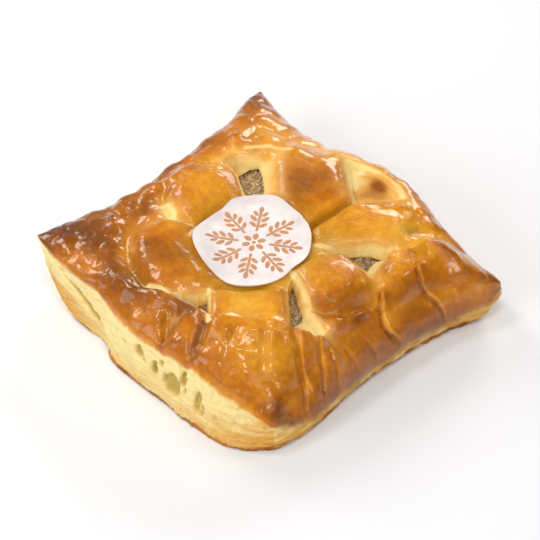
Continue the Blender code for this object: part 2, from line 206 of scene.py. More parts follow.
# Puffs: x, y, half length, half width, turn in degrees, height
# Creases: line, half width, height, which is below 0 for a valley
# Flaps: line, step up to the right of its run, reach, width of the face
lid = {
    "crown": 29.8,
    "shoulder": 5,
    "rolledShoulder": 7,
    "softness": 0.62,
    "rolledSoftness": 0.95,
    "hub": (-0.8, -7.8, 24, 0.8),
    "puffs": (
        (-45, -36, 9, 7, 40, 1),
        (-36, 38, 10, 7, -45, -1.4),
        (37, 41, 12, 6, -5, 0.8),
        (46.5, 32, 6, 8, 30, 1.6),
        (45.5, 17, 4.5, 6, 10, 1.8),
        (45.5, -5.5, 4.5, 7, 0, 1.6),
        (10.6, -51.5, 4, 6, 0, 1.9),
        (24, -44, 6, 6, 30, 1.3),
        (-1, -52.5, 4.5, 4.5, 0, 1),
        (-14, -50, 6, 4, 10, 0.8),
        (33, -36, 5, 6, 40, 1),
    ),
    # Petals between the slashes: step at the edge, height of the dome, then corners in
    # anticlockwise order, each with the width of the edge that runs to the next one
    "petals": (
        (1.2, 1.6, ((-37.5, -12.8, 3), (-26.5, -16, 2), (-20.5, -15.5, 3), (-18.5, 6.4, 1.8),
                    (-28.1, 12.4, 2.4), (-37.5, 11.8, 5), (-46, 6, 6), (-47, -4, 4))),
        (1.1, 1.4, ((-13, 10.6, 3), (6.5, 13.2, 1.6), (8.9, 30, 1.4), (-7.4, 44.6, 7),
                    (-20, 41, 7), (-27.6, 26, 3))),
        (1.5, 1.2, ((14.2, 7.4, 1.5), (31.6, 21.6, 3), (36.5, 30, 7), (26, 43, 1.5),
                    (10.2, 29.2, 1.6), (7.2, 13.2, 3))),
        (2, 2, ((17, -7.2, 1.6), (30.4, -12.8, 3), (38.4, -9, 3.5), (41.6, 6.4, 2.5),
                    (37, 9.8, 1.6), (24, 10.2, 1.6), (18, 5.4, 1.8))),
        (1.5, 0.3, ((3.6, -32.4, 1.4), (13.6, -42.8, 3), (33.4, -25.2, 1.4), (19.8, -13.8, 1.8))),
        (1.8, 1.8, ((-31, -19.8, 4.5), (-33, -34, 4.5), (-24.5, -41.4, 3.6), (-13, -44.2, 2),
                    (-4.5, -43, 1.6), (4.4, -35.2, 1.6), (5.5, -28, 5), (-17.5, -13.5, 2.2))),
    ),
    "creases": (
        (((9.4, 32), (8.9, 24), (8.2, 17), (7, 11.5)), 1.25, -3.8),
        (((-20, -47), (-6, -45), (6, -44), (13, -43.5), (22, -37), (30, -30.5), (38, -24.5),
          (45, -17)), 4.5, 2.4),
        (((45, -17), (47.5, -9), (47.5, -3), (50, 1)), 4.2, 2.6),
        (((48, 11), (47.5, 18), (47, 24)), 3.8, 1.6),
        (((38.9, 26.3), (40.3, 33.3), (48.2, 37.2), (57.5, 39.2), (60.9, 44.9)), 2.6, 3),
        (((33.2, 34.7), (37.2, 40.5), (44.7, 43.9), (53.7, 46.8)), 2.6, -2.2),
        (((-48, -20), (-46.5, -6), (-46.5, 10), (-48, 24)), 4, 0.8),
        (((-8, 46), (4, 49), (16, 49), (28, 46)), 4, 1.5),
        (((-40, -14), (-39, -24), (-36, -33), (-27, -41), (-17, -45.5), (-10, -46)), 3.4, -1.9),
        (((-18, -27.5), (-12, -28.5), (-4.6, -31)), 1.6, 0.9),
        (((-37, -13.5), (-46, -6), (-47, 4), (-40, 10.5)), 2, -1),
        (((31, -13), (36, -10.8), (39.8, -6.5), (41.4, 0), (42.4, 6)), 1.9, -3),
        (((43.2, -12), (44.6, -6), (45.8, -1), (48.6, 2.4)), 2.8, 2.6),
        (((34.5, 25), (37.5, 29), (38.5, 36)), 2, -1),
        (((5.4, -61), (5.6, -55), (5, -50), (4.4, -46.5)), 1.9, -1.7),
        (((17, -61), (16.4, -53.5), (15, -47), (13, -42.5)), 1.8, -1.9),
        (((-24, -58), (-25, -52), (-23, -47)), 1.8, -1),
        (((7.7, -58.7), (0.6, -48.8)), 1.8, -1.9),
        (((36, -25), (40.5, -29), (46.6, -32), (52, -38)), 1.3, -2),
        (((41, -21), (47.4, -23.6), (53.5, -28)), 1, -1.9),
        (((44.6, -17.6), (49.4, -20), (54.4, -22)), 1, -1.8),
        (((28, -31), (34, -38), (41, -46)), 1.8, -0.9),
        (((22, -36), (24, -44), (29, -54)), 1.8, -0.8),
        (((-50, -30), (-46, -34), (-40, -36)), 2.2, -0.8),
        (((-53, -12), (-50, -18), (-44, -22)), 2.2, -0.8),
    ),
    "folds": (
        (((60, 11.5), (53.4, 8), (50.6, 5.4), (48.2, 4.6), (45.6, 6), (42.6, 8.8)), 1.9, 5, 0.75),
        (((60, 28), (53.6, 25.6), (50.8, 23.4), (48.6, 22.6), (45, 24.2)), 1.6, 4.5, 0.75),
        (((61, -4), (54, -2), (49, -4)), 0.9, 3, 1.1),
        (((60, -13), (52, -11), (47.5, -12.5)), 0.9, 3, 1.1),
        (((50.5, -26.2), (47.5, -23.6), (45, -22.6), (41, -19.6)), 1.2, 2.6, 0.9),
        (((50, -34.5), (46, -31.2), (43.5, -30.2), (38, -26.4)), 1.3, 2.8, 0.9),
        (((51.5, -20.6), (48.5, -18.8), (46, -18.4)), 1, 2.2, 0.8),
        (((62, 30.5), (57, 31.5), (53, 33)), 0.3, 3, 1.1),
    ),
    "flaps": (
        (((17.3, -55.4), (12.9, -51.8), (9.4, -45.1)), 1.7, 5, 2.6),
        (((-24, -49), (-16, -47.6), (-8, -44.8), (-1, -41.8), (6, -40.9), (12, -40.6), (22, -33.2),
          (32, -25.6), (38, -22), (44, -17)), 2.6, 6.5, 1.1),
        (((4.4, -31.6), (10.6, -27.2), (15.6, -22.6), (18.8, -18.2), (21, -14.2)), 0.9, 3, 1.6),
        (((-20.2, -14.8), (-21, -6), (-19.2, 1), (-16.4, 7.5)), -0.8, 7, 3),
        (((-14, 9.5), (-6, 13.5), (4, 12.5), (9.2, 10.5)), -0.7, 7, 3.5),
    ),
    # Rounding at the edges of the petals and slashes
    "petalRound": 1,
    "petalDome": 9,
    "edgeRound": (0.7, 1.3),
    "edgePillow": (0.5, 4.5),
    # Paler glaze beside each slash
    "halo": 0.22,
    "haloWidth": 1.4,
}

# Cut edges of the dough that show pale between glazed faces: line, half width, strength
paleEdges = (
    (((-13, -44.4), (-4.5, -43), (4.2, -35.4)), 1.5, 1),
    (((3.4, -32.6), (13.4, -43)), 1, 0.9),
    (((9.4, 31), (8.9, 24), (8.2, 18)), 0.7, 0.5),
    (((14.2, 7.2), (22, 11.4), (30.6, 20), (34.6, 25.4)), 1.2, 0.6),
    (((17, -7.2), (30.4, -13)), 1.3, 0.8),
    (((18, 5.4), (24, 10.4), (36, 10)), 0.8, 0.6),
    (((-18, 6.2), (-27.8, 12.4)), 0.8, 0.6),
    (((-30.6, -19.6), (-20, -16.4)), 0.8, 0.5),
    (((-35, 24), (-30, 30.6), (-22, 33)), 1.2, 0.5),
)
# Toasted spots on the cut dough, and painted shade inside some slashes: x, y, half length, half
# width, turn, amount
toastAndShadeSpots = (
    (12, 42, 9, 7, 0, 0.85),
    (6, 45, 9, 3, 5, 0.3),
    (7, 38, 3, 8, 0, 0.5),
    (-31, 17.5, 6, 2.6, -5, 0.5),
    (-19, 21, 2, 9, 45, 0.4),
    (29, -14, 9, 1.6, -25, 0.4),
    (10, 39.5, 6, 3, 40, 0.35),
    (8.8, 45, 3.4, 1.9, 8, 0.75),
    (36, 21, 2, 3, 0, 0.9),
    (-27.5, 26.5, 3, 2.2, 40, 0.9),
    (34.6, 22, 2.4, 3.4, 0, 0.8),
    (24, 13.6, 7, 2, 30, 0.45),
    (24, -12.6, 5, 1.8, -30, 0.35),
    (-33, 15, 5, 2, 10, 0.3),
)

# Slashes: outline at the lid, outline at the foot of the cut faces, height of that foot
slashes = {
    "far": {
        "top": ((-37.6, 11.6), (-33, 13.4), (-28, 12.6), (-17.6, 6.4), (-8, 15.4), (-23.4, 31.2),
                (-31.2, 28.4), (-37.4, 20)),
        "foot": ((-33.4, 16.4), (-30, 15.4), (-20.4, 8.4), (-16.8, 12), (-28, 22.8), (-32.4, 19)),
        "floor": 23.6,
        "roll": 1.8,
        "round": 0,
        "pale": 0.8,
        "blend": 0.95,
    },
    "back": {
        "top": ((-8.6, 44.4), (9.1, 30.6), (21.8, 45.6), (15.8, 48.6), (3.4, 49.2)),
        "foot": ((-4.4, 44.6), (9.2, 34), (17.6, 44.6), (14, 46.4), (3.6, 46.8)),
        "floor": 25.4,
        "ridge": (((1, 44.6), (6.4, 47), (12.7, 47.8), (19, 46.6)), 1.4, 2.6),
    },
    "right": {
        "top": ((15.6, 6.8), (18.9, 6.8), (24.9, 10), (30.5, 10.2), (36.6, 10.4), (36.2, 17),
                (36.4, 22.4), (33, 24.6), (27.6, 21.6), (21.2, 14)),
        "foot": ((20.6, 9.4), (24.9, 11.4), (30.6, 12), (34.6, 12.8), (34.8, 19), (32.8, 22),
                 (28.6, 18.8), (23.4, 12.8)),
        "floor": 24,
        "roll": 1.6,
        "round": 0,
        "pale": 0.9,
        "blend": 0.7,
        "pillow": 0,
    },
    "near": {
        "top": ((18.2, -6.6), (20.6, -12.6), (32.4, -24.6), (36.6, -22.6), (41, -19),
                (43.6, -15.6), (32.1, -12.8), (27.1, -9.8)),
        "foot": ((19.6, -9.6), (21.2, -12.6), (32, -23.2), (36, -21), (39.4, -17.8), (31.6, -16.4),
                 (25.2, -13.8)),
        "floor": 23.6,
        "roll": 1.7,
        "round": 0,
        "pale": 0.9,
        "blend": 0.7,
    },
    "front": {
        "top": ((-4.6, -42), (1, -40.6), (6, -40), (11.2, -39.8), (3.6, -32.8), (2.4, -34.6)),
        "foot": ((-0.6, -39.8), (5.4, -39.2), (9.6, -39), (3.8, -34.4)),
        "floor": 23.4,
    },
    "left": {
        "top": ((-38.6, -14.6), (-34.2, -17.2), (-30.6, -18.6), (-26.6, -17), (-30, -13.6),
                (-36.6, -11.6)),
        "foot": ((-37, -14.6), (-34.2, -16.4), (-32.2, -16.4), (-36.2, -13.6)),
        "floor": 25.2,
    },
}


def distanceToLine(x, y, line):
    nearest = np.full(np.shape(x), np.inf)
    signed = np.zeros(np.shape(x))
    for (ax, ay), (bx, by) in zip(line, line[1:]):
        dx, dy = bx - ax, by - ay
        along = np.clip(((x - ax) * dx + (y - ay) * dy) / (dx * dx + dy * dy), 0.0, 1.0)
        gap = np.hypot(x - ax - along * dx, y - ay - along * dy)
        side = np.where(dy * (x - ax) - dx * (y - ay) < 0, -1.0, 1.0)
        signed = np.where(gap < nearest, side * gap, signed)
        nearest = np.minimum(gap, nearest)
    return signed


# Distance to a closed outline, above 0 inside it
def depthInside(x, y, ring):
    closed = (*ring, ring[0])
    gap = np.abs(distanceToLine(x, y, closed))
    inside = np.zeros(np.shape(x), bool)
    for (ax, ay), (bx, by) in zip(closed, closed[1:]):
        spans = (ay > y) != (by > y)
        rise = by - ay if abs(by - ay) > 1e-9 else 1e-9
        crossing = ax + (y - ay) * (bx - ax) / rise
        inside ^= spans & (x < crossing)
    return np.where(inside, gap, -gap)


def puffAt(x, y, centreX, centreY, halfLength, halfWidth, turn, height):
    angle = math.radians(turn)
    along = (x - centreX) * math.cos(angle) + (y - centreY) * math.sin(angle)
    across = (y - centreY) * math.cos(angle) - (x - centreX) * math.sin(angle)
    return height * np.exp(-((along / halfLength) ** 2) - (across / halfWidth) ** 2)


def flapAt(x, y, line, step, reach, face):
    gap = distanceToLine(x, y, line)
    return step * (smoothstep(-face / 2, face / 2, gap) - 0.5) * np.exp(-((gap / reach) ** 2))


# A fold is a flap with a sharp groove at its foot
def foldAt(x, y, line, step, reach, face):
    gap = distanceToLine(x, y, line)
    groove = -0.7 * step * np.exp(-(((gap + face / 2) / (0.6 * face)) ** 2))
    return flapAt(x, y, line, step, reach, face) + groove


def lidSwell(s, t):
    swell = 1.0
    for across in (s, t):
        cutSide = (1 - np.abs(across) ** lid["shoulder"]) ** lid["softness"]
        rolledSide = (1 - np.abs(across) ** lid["rolledShoulder"]) ** lid["rolledSoftness"]
        swell = swell * np.where(across > 0, rolledSide, cutSide)
    return swell


# Height of the lid before it is slashed
def lidHeight(x, y, s, t):
    swell = lidSwell(s, t)
    height = browHeight(s, t) * (1 - swell) + lid["crown"] * swell
    hubX, hubY, hubRadius, hubDepth = lid["hub"]
    away = np.hypot(x - hubX, y - hubY) / hubRadius
    height = height - hubDepth * np.exp(-(away**4))
    for values in lid["puffs"]:
        height = height + puffAt(x, y, *values) * swell**0.5
    for line, halfWidth, rise in lid["creases"]:
        gap = distanceToLine(x, y, line)
        height = height + rise * np.exp(-((gap / halfWidth) ** 2)) * (0.35 + 0.65 * swell)
    for values in lid["petals"]:
        height = height + petalAt(x, y, *values)
    for values in lid["flaps"]:
        height = height + flapAt(x, y, *values)
    for values in lid["folds"]:
        height = height + foldAt(x, y, *values) * (0.75 + 0.25 * swell)
    return height


# A petal rises at each of its edges and domes between them
def petalAt(x, y, step, dome, corners):
    edge, middle = 1.0, 1.0
    for (ax, ay, width), (bx, by, _) in zip(corners, (*corners[1:], corners[0])):
        length = math.hypot(bx - ax, by - ay)
        depth = ((bx - ax) * (y - ay) - (by - ay) * (x - ax)) / length
        edge = edge * smoothstep(-0.5 * width, 0.5 * width + lid["petalRound"], depth)
        middle = middle * smoothstep(-0.5 * width, lid["petalDome"], depth)
    return step * edge + dome * middle


# How far each point is down a cut face: 0 at the lid, 1 at the foot and inside it
def slashShare(x, y, slash):
    outside = depthInside(x, y, slash["top"])
    inside = depthInside(x, y, slash["foot"])
    share = outside / np.maximum(outside - inside, 1e-6)
    return np.where(outside <= 0, 0.0, np.where(inside >= 0, 1.0, np.clip(share, 0, 1))), outside


def slashLid(x, y, height):
    cut = np.zeros(np.shape(x))
    roundDepth, roundWidth = lid["edgeRound"]
    pillow, pillowWidth = lid["edgePillow"]
    for slash in slashes.values():
        share, outside = slashShare(x, y, slash)
        edge = np.minimum(outside, 0.0)
        rounded = np.exp(edge / roundWidth * 1.6) * (share < 1)
        height = height - slash.get("round", roundDepth) * rounded
        fromPillow = (edge + pillowWidth) / pillowWidth
        height = height + slash.get("pillow", pillow) * np.exp(-(fromPillow**2) * 2)
        down = share ** slash.get("roll", 1.35)
        floor = slash["floor"]
        if "ridge" in slash:
            line, halfWidth, rise = slash["ridge"]
            floor = floor + rise * np.exp(-((distanceToLine(x, y, line) / halfWidth) ** 2))
        height = height * (1 - down) + floor * down
        halo = lid["halo"] * np.exp(edge / lid["haloWidth"]) * (outside > -6)
        pale = np.maximum(halo, smoothstep(0.0, slash.get("blend", 0.35), share))
        cut = np.maximum(cut, slash.get("pale", 1.0) * pale)
    for line, halfWidth, strength in paleEdges:
        away = np.abs(distanceToLine(x, y, line))
        cut = np.maximum(cut, strength * smoothstep(halfWidth, 0.4 * halfWidth, away))
    return height, cut


# Finds s and t for plan points, by walking them until they match
def squareOf(x, y):
    halfLength, halfWidth, steps = 52.0, 50.0, 12
    s, t = x / halfLength, y / halfWidth
    for _ in range(steps):
        atX, atY = planPoint(s, t, 1.0)
        s = np.clip(s + (x - atX) / halfLength, -1, 1)
        t = np.clip(t + (y - atY) / halfWidth, -1, 1)
    return s, t


def lidOver(x, y):
    return lidHeight(x, y, *squareOf(x, y))


# Gradient noise over points, summed over octaves that halve in size
def cloudNoise(points, size, seed, octaves=3):
    draw = np.random.default_rng(seed)
    order = draw.permutation(256)
    order = np.concatenate((order, order, order))
    slope = draw.normal(size=(256, 3))
    slope /= np.linalg.norm(slope, axis=1)[:, None]
    total, weight = np.zeros(len(points)), 1.0
    for octave in range(octaves):
        place = points / np.asarray(size) * 2**octave + 17.3 * (octave + 1)
        cell = np.floor(place).astype(int)
        part = place - cell
        cell &= 255
        ease = part**3 * (part * (part * 6 - 15) + 10)
        value = np.zeros(len(points))
        for corner in range(8):
            step = np.array([corner & 1, corner >> 1 & 1, corner >> 2 & 1])
            key = order[cell[:, 0] + step[0]]
            key = order[key + cell[:, 1] + step[1]]
            key = order[key + cell[:, 2] + step[2]]
            lean = np.einsum("ij,ij->i", slope[key], part - step)
            share = np.prod(np.where(step == 1, ease, 1 - ease), axis=1)
            value += lean * share
        total += weight * value
        weight *= 0.5
    return total


print("crust mesh")

crust = {
    "columns": 224,
    "wallRows": 38,
    "baseLoops": 9,
    "snap": 0.24,
    # Noises: size of the largest parts, seed, octaves
    "noises": {
        "ragged": (6, 3, 3),
        "frayed": (1.6, 4, 3),
        "patches": (17, 5, 2),
        "wobble": (14, 6, 2),
        "blisters": (2.6, 7, 2),
        "wrinkles": (1.5, 8, 2),
        "layers": ((7, 7, 1), 9, 3),
        "thinLayers": ((14, 14, 0.55), 10, 2),
        "crumb": (0.9, 11, 2),
        "lip": (5, 12, 2),
        "bakeWide": (20, 13, 3),
        "bakeFine": (5, 14, 3),
        "puffy": (11, 16, 2),
        "pull": ((1.8, 1.8, 8), 17, 2),
        "pockets": ((2.8, 2.8, 2.2), 18, 2),
        "patchy": (4.5, 19, 3),
        "foot": (15, 20, 2),
        "sides": ((9, 9, 2.2), 22, 3),
    },
    # How far each kind of relief stands out
    "wobble": 0.35,
    "puffy": 2.0,
    "blister": 0.42,
    "wrinkle": 0.13,
    "layer": 0.75,
    "thinLayer": 0.6,
    "crumb": 0.10,
    "pull": 0.9,
    "pocket": 1.2,
    "foldOnSides": 0.4,
    "footLip": 0.5,
    # Above the ceiling the lid rises by a share of its height only
    "ceiling": 32.2,
    "aboveCeiling": 0.45,
    # Rounds of smoothing for the rolled sides and for the blunt tips
    "relaxRounds": 24,
    "tipRounds": 320,
    "farTipShare": 0.1,
}

# Places where the glaze stays smooth: x, y, half length, half width, turn, amount
calmSpots = (
    (25, -45, 15, 9, 0, 0.55),
    (31, -2, 12, 10, 0, 1),
    (15, -28, 13, 9, 45, 1),
    (-8, 29, 14, 12, 0, 0.8),
    (22, 24, 12, 10, 40, 0.8),
    (-24, -28, 9, 8, 30, 0.6),
    (50, 10, 8, 26, 0, 0.8),
    (53, 34, 8, 12, 0, 0.7),
    (52, -20, 7, 16, 0, 0.5),
    (-46, 42, 14, 12, 0, 0.6),
    (10, -49, 18, 7, 0, 0.45),
)

# Places where it blistered
roughSpots = (
    (-35, 4, 8, 7, 0, 1),
    (-44, -32, 9, 12, -30, 1),
    (36, 36, 9, 6, 0, 0.8),
)

# Share of the side and level of the wall down to which the glaze runs
glazeEdge = {
    "front": ((0, 0.9), (0.1, 0.93), (0.3, 0.95), (0.6, 0.94), (0.85, 0.93), (0.93, 0.92),
              (0.97, 0.88), (1, 0.8)),
    "right": ((0, 0.8), (0.04, 0.68), (0.08, 0.48), (0.14, 0.34), (0.25, 0.25), (0.5, 0.22),
              (0.8, 0.28), (0.92, 0.4), (1, 0.52)),
    "back": ((0, 0.55), (0.1, 0.4), (0.3, 0.25), (0.6, 0.2), (0.9, 0.25), (1, 0.35)),
    "left": ((0, 0.9), (0.06, 0.8), (0.2, 0.62), (0.5, 0.55), (0.8, 0.58), (0.94, 0.6), (1, 0.55)),
}

# Places that baked darker (above 0) or stayed paler, and painted shade along some folds and
# valleys: x, y, half length, half width, turn, amount
bakeAndShadeSpots = (
    (-54, -44, 9, 8, 40, 0.2),
    (-58, -50, 4, 4, 40, 0.2),
    (-43, -38, 11, 6, -40, 0.34),
    (-46, -24, 8, 8, 0, 0.16),
    (-27, -46, 12, 6, -10, 0.3),
    (-12, -51, 14, 5, 0, 0.2),
    (-49, 12, 7, 22, 0, 0.22),
    (-48, -2, 7, 9, 0, 0.14),
    (-56, 50, 7, 6, -45, 0.16),
    (61, 48, 4, 4, 45, 0.22),
    (47.4, -44.2, 6, 3, 48, 0.3),
    (-53, -43, 9, 8, 40, 0.16),
    (14.6, -47.5, 7, 1.6, 105, 0.3),
    (5, -53, 6, 1.4, 95, 0.22),
    (-50, 46, 10, 8, -45, 0.08),
    (2, -46.5, 16, 4, 0, 0.05),
    (-47, -22, 7, 12, -20, 0.12),
    (0, -48.5, 14, 4, 0, 0.07),
    (3, -43.5, 8, 3, 0, 0.22),
    (12, -55, 5, 5, 0, 0.1),
    (40, -3, 2.6, 8.5, -10, 0.26),
    (34, -11.4, 5, 2.2, 20, 0.2),
    (30, 1, 9, 7, 0, 0.06),
    (47, -12, 6, 8, 0, 0.06),
    (-6, 23, 9, 11, 0, 0.36),
    (-14, -30, 11, 8, 0, 0.32),
    (-24, -35, 7, 6, 0, 0.14),
    (-20, -44, 10, 4, -10, 0.22),
    (-39, -24, 4, 12, 20, 0.22),
    (-51, -46, 11, 8, 40, 0.28),
    (46, -3, 4, 6, 0, 0.12),
    (40, -37, 6, 6, 0, -0.04),
    (49, -27, 4, 8, 0, 0.14),
    (22, -48, 9, 6, 0, 0.08),
    (47, 37, 3.5, 3, 0, 0.2),
    (44, 26, 6, 9, 20, 0.12),
    (-55.6, 50.4, 3, 3, 0, 0.2),
    (-49, 44, 7, 8, 0, 0.12),
    (55, 8, 6, 30, 0, 0.14),
    (12, -6, 10, 14, 0, -0.1),
    (22, 18, 13, 7, 40, -0.16),
    (33, 31, 8, 7, 40, -0.1),
    (15, -28, 9, 9, 0, -0.2),
    (-10, 46, 14, 5, 0, -0.26),
    (-30, 34, 8, 6, 0, -0.1),
    (38, 34, 8, 5, 0, -0.1),
)


# Hollows of the lid that get painted olive shade
hollowShadeSpots = (
    (17, 13, 7, 5, 40, 0.8),
    (9.5, 20, 2.5, 9, -5, 0.7),
    (-19, 12, 4, 6, 0, 0.5),
)

# Tones of the crust, from 0 to 1, and the strength of the painted shade in a ring round the disc;
# the band is in millimetres and riseReach in lattice steps
crustTones = {
    "bake": 0.43,
    "wideNoise": 0.12,
    "fineNoise": 0.10,
    "byRise": 0.06,
    "riseReach": 9,
    "cutPaler": 0.35,
    "rolledSide": 0.22,
    "rim": 0.16,
    "softAbove": 0.8,
    "shadeRoundHub": 0.7,
    "middleGloss": 0.4,
    "bandHeight": 3.9,
    "bandVaries": 4.4,
    "tanLeft": 0.6,
    "tanNear": 0.32,
    "tanLow": 0.55,
    "tanSides": 0.25,
    "tanSidesVary": 0.9,
    "tanPatches": 0.5,
}


def glazeLevel(side, share):
    return np.interp(share, *zip(*glazeEdge[side]))


def spotsAt(x, y, spots):
    return sum(puffAt(x, y, *values) for values in spots)


def crustNoise(points, name):
    return cloudNoise(points, *crust["noises"][name])


# Quads of a lattice, and its rim from the first corner round
def latticeParts(grid):
    quads = np.stack((grid[:-1, :-1], grid[:-1, 1:], grid[1:, 1:], grid[1:, :-1]), -1)
    rim = np.concatenate((grid[0, :-1], grid[:-1, -1], grid[-1, :0:-1], grid[:0:-1, 0]))
    return quads.reshape(-1, 4), rim


# The square lattice of the top, then loops down the wall and in under the base to its centre
def crustLattice(columns, wallRows, baseLoops):
    line = np.linspace(-1, 1, columns + 1)
    line = line * (1.1 - 0.1 * line**2)
    topT, topS = np.meshgrid(line, line, indexing="ij")
    grid = np.arange((columns + 1) ** 2).reshape(columns + 1, columns + 1)
    quads, rim = latticeParts(grid)
    s, t = [topS.ravel()], [topT.ravel()]
    level, inwards = [np.ones(topS.size)], [np.ones(topS.size)]
    faces = [quads]
    above, count = rim, topS.size
    rimS, rimT = s[0][rim], t[0][rim]
    levels = [(1 - row / wallRows, 1.0) for row in range(1, wallRows + 1)]
    levels += [(0.0, 1 - ((loop + 1) / (baseLoops + 1)) ** 1.5) for loop in range(baseLoops)]
    for height, shrink in levels:
        below = np.arange(count, count + len(rim))
        nextAbove, nextBelow = np.roll(above, -1), np.roll(below, -1)
        faces.append(np.stack((above, below, nextBelow, nextAbove), -1))
        s.append(rimS * shrink)
        t.append(rimT * shrink)
        level.append(np.full(len(rim), height))
        inwards.append(np.full(len(rim), shrink))
        above, count = below, count + len(rim)
    for part in (s, t, level, inwards):
        part.append([0.0])
    fan = [(a, count, b) for a, b in zip(above.tolist(), np.roll(above, -1).tolist())]
    quads = np.concatenate(faces).tolist()
    joined = [np.concatenate(part) for part in (s, t, level, inwards)]
    return (*joined, quads + fan, topS.size)


# Moves lattice points that lie close to a slash's outlines onto them, so that its edges are crisp
def snapToSlashes(x, y):
    reach = crust["snap"]
    for slash in slashes.values():
        for ring in (slash["top"], slash["foot"]):
            gap = depthInside(x, y, ring)
            step = 0.01
            slopeX = (depthInside(x + step, y, ring) - gap) / step
            slopeY = (depthInside(x, y + step, ring) - gap) / step
            move = np.where(np.abs(gap) < reach, gap, 0.0)
            x, y = x - move * slopeX, y - move * slopeY
    return x, y


origin = np.array([*outline["origin"], 0])


def newMesh(name, points, faces):
    mesh = bpy.data.meshes.new(name)
    shifted = (points - origin) * mm
    mesh.from_pydata(shifted.tolist(), [], faces)
    mesh.update()
    piece = bpy.data.objects.new(name, mesh)
    bpy.context.scene.collection.objects.link(piece)
    return piece


def readPoints(piece):
    flat = np.empty(len(piece.data.vertices) * 3)
    piece.data.vertices.foreach_get("co", flat)
    return flat.reshape(-1, 3) / mm + origin


def writePoints(piece, points):
    piece.data.vertices.foreach_set("co", ((points - origin) * mm).ravel())
    piece.data.update()


def readNormals(piece):
    flat = np.empty(len(piece.data.vertices) * 3)
    piece.data.vertex_normals.foreach_get("vector", flat)
    return flat.reshape(-1, 3)


def writeMask(piece, name, values):
    layer = piece.data.attributes.new(name, "FLOAT", "POINT")
    layer.data.foreach_set("value", np.asarray(values, np.float32))


# Holes of the crumb on the cut front: x, height, half width, half height, depth
crumbHoles = (
    (-2.9, 17, 1.8, 2.6, 2.2),
    (-0.4, 14.6, 0.7, 1.2, 1.2),
    (4.1, 14, 1.3, 3, 2.4),
    (6.6, 17.6, 0.8, 1.4, 1.4),
    (8.6, 12, 0.9, 2.6, 2),
    (12, 11.4, 3.2, 4.6, 2.8),
    (16, 16.4, 1.2, 2.8, 2.2),
    (17.4, 12.6, 0.6, 1.6, 1.2),
    (23, 11.4, 1.5, 4.4, 1.8),
    (25.6, 9.6, 0.8, 2.6, 1.2),
    (-9.6, 16.6, 0.8, 1, 1),
    (-14, 18.4, 0.6, 0.9, 0.8),
    (30.6, 9.4, 0.6, 1.4, 0.8),
)
# The long gap between layers at the left end of the front: x, height, half opening
crevice = (
    (-46, 22, 0.2), (-42.5, 20.4, 0.7), (-36.5, 17, 1.6),
    (-30.5, 13.2, 2.5), (-26.5, 10.4, 2.2), (-25, 8.6, 0.4),
)
creviceDepth = 2.4


def holesInFront(x, z):
    depth = np.zeros(np.shape(x))
    for centreX, centreZ, halfWidth, halfHeight, deep in crumbHoles:
        away = np.hypot((x - centreX) / halfWidth, (z - centreZ) / halfHeight)
        depth = np.maximum(depth, deep * smoothstep(1.25, 0.75, away))
    knots = [stop[0] for stop in crevice]
    middle = np.interp(x, knots, [stop[1] for stop in crevice])
    opening = np.interp(x, knots, [stop[2] for stop in crevice], left=0, right=0)
    away = np.abs(z - middle) / np.maximum(opening, 1e-3)
    return np.maximum(depth, creviceDepth * smoothstep(1.2, 0.5, away) * (opening > 0.05))


# How far each point of the lid stands above the mean of those round it
def standingOut(heights, side, reach):
    grid = heights.reshape(side, side)
    mean = grid
    for axis in (0, 1, 0, 1):
        ends = [(0, 0), (0, 0)]
        ends[axis] = (reach + 1, reach)
        total = np.cumsum(np.pad(mean, ends, mode="edge"), axis=axis)
        width = 2 * reach + 1
        upper = np.take(total, range(width, side + width), axis)
        mean = (upper - np.take(total, range(side), axis)) / width
    return (grid - mean).ravel()


# Turns the modifiers of a piece into its mesh
def applyModifiers(piece):
    ready = piece.evaluated_get(bpy.context.evaluated_depsgraph_get())
    mesh = bpy.data.meshes.new_from_object(ready)
    piece.modifiers.clear()
    piece.data = mesh


# Relaxes the mesh where a mask is above 0
def relax(piece, mask, rounds):
    group = piece.vertex_groups.new(name="relaxed")
    steps = 10
    for step in range(1, steps + 1):
        members = np.flatnonzero(np.round(mask * steps) == step)
        group.add(members.tolist(), step / steps, "REPLACE")
    smooth = piece.modifiers.new("relax", "SMOOTH")
    smooth.factor, smooth.iterations, smooth.vertex_group = 0.5, rounds, group.name
    applyModifiers(piece)
    piece.vertex_groups.clear()


# The lattice, with a name for each of its parts
def layOutCrust():
    s, t, level, inwards, faces, topCount = crustLattice(
        crust["columns"], crust["wallRows"], crust["baseLoops"]
    )
    net = SimpleNamespace(s=s, t=t, level=level, inwards=inwards, topCount=topCount)
    atEdge = 0.999
    net.out = np.maximum(np.abs(s), np.abs(t))
    net.isTop = np.arange(len(s)) < topCount
    net.onWall = ~net.isTop
    net.onFront = (t < -atEdge) & (level < 1)
    onRight = (s > atEdge) & (level < 1) & ~net.onFront
    onBack = (t > atEdge) & (level < 1) & ~onRight
    net.onRolled = onRight | onBack
    net.towardsRight = np.where(net.onFront, smoothstep(0.84, 1.0, s), 1.0)
    u, v = (s + 1) / 2, (t + 1) / 2
    edge = np.where(t < -atEdge, glazeLevel("front", u), glazeLevel("left", v))
    edge = np.where(s > atEdge, glazeLevel("right", v), edge)
    net.glazeEdge = np.where((t > atEdge) & (s < atEdge), glazeLevel("back", u), edge)
    return net, faces


# Lid, walls and base before the fine relief, and how far the lid is cut open
def shapeCrust(net):
    x, y = planPoint(net.s, net.t, net.level)
    topX, topY = planPoint(net.s, net.t, 1.0)
    inner = net.isTop & (net.out < 0.985)
    x[inner], y[inner] = snapToSlashes(x[inner], y[inner])
    topX, topY = np.where(net.isTop, x, topX), np.where(net.isTop, y, topY)
    height, cut = slashLid(topX, topY, lidHeight(topX, topY, net.s, net.t))
    foot = footHeight(net.s, net.t)
    points = np.stack((x, y, foot + (height - foot) * net.level), -1)
    return points, np.where(net.isTop, cut, 0.0)


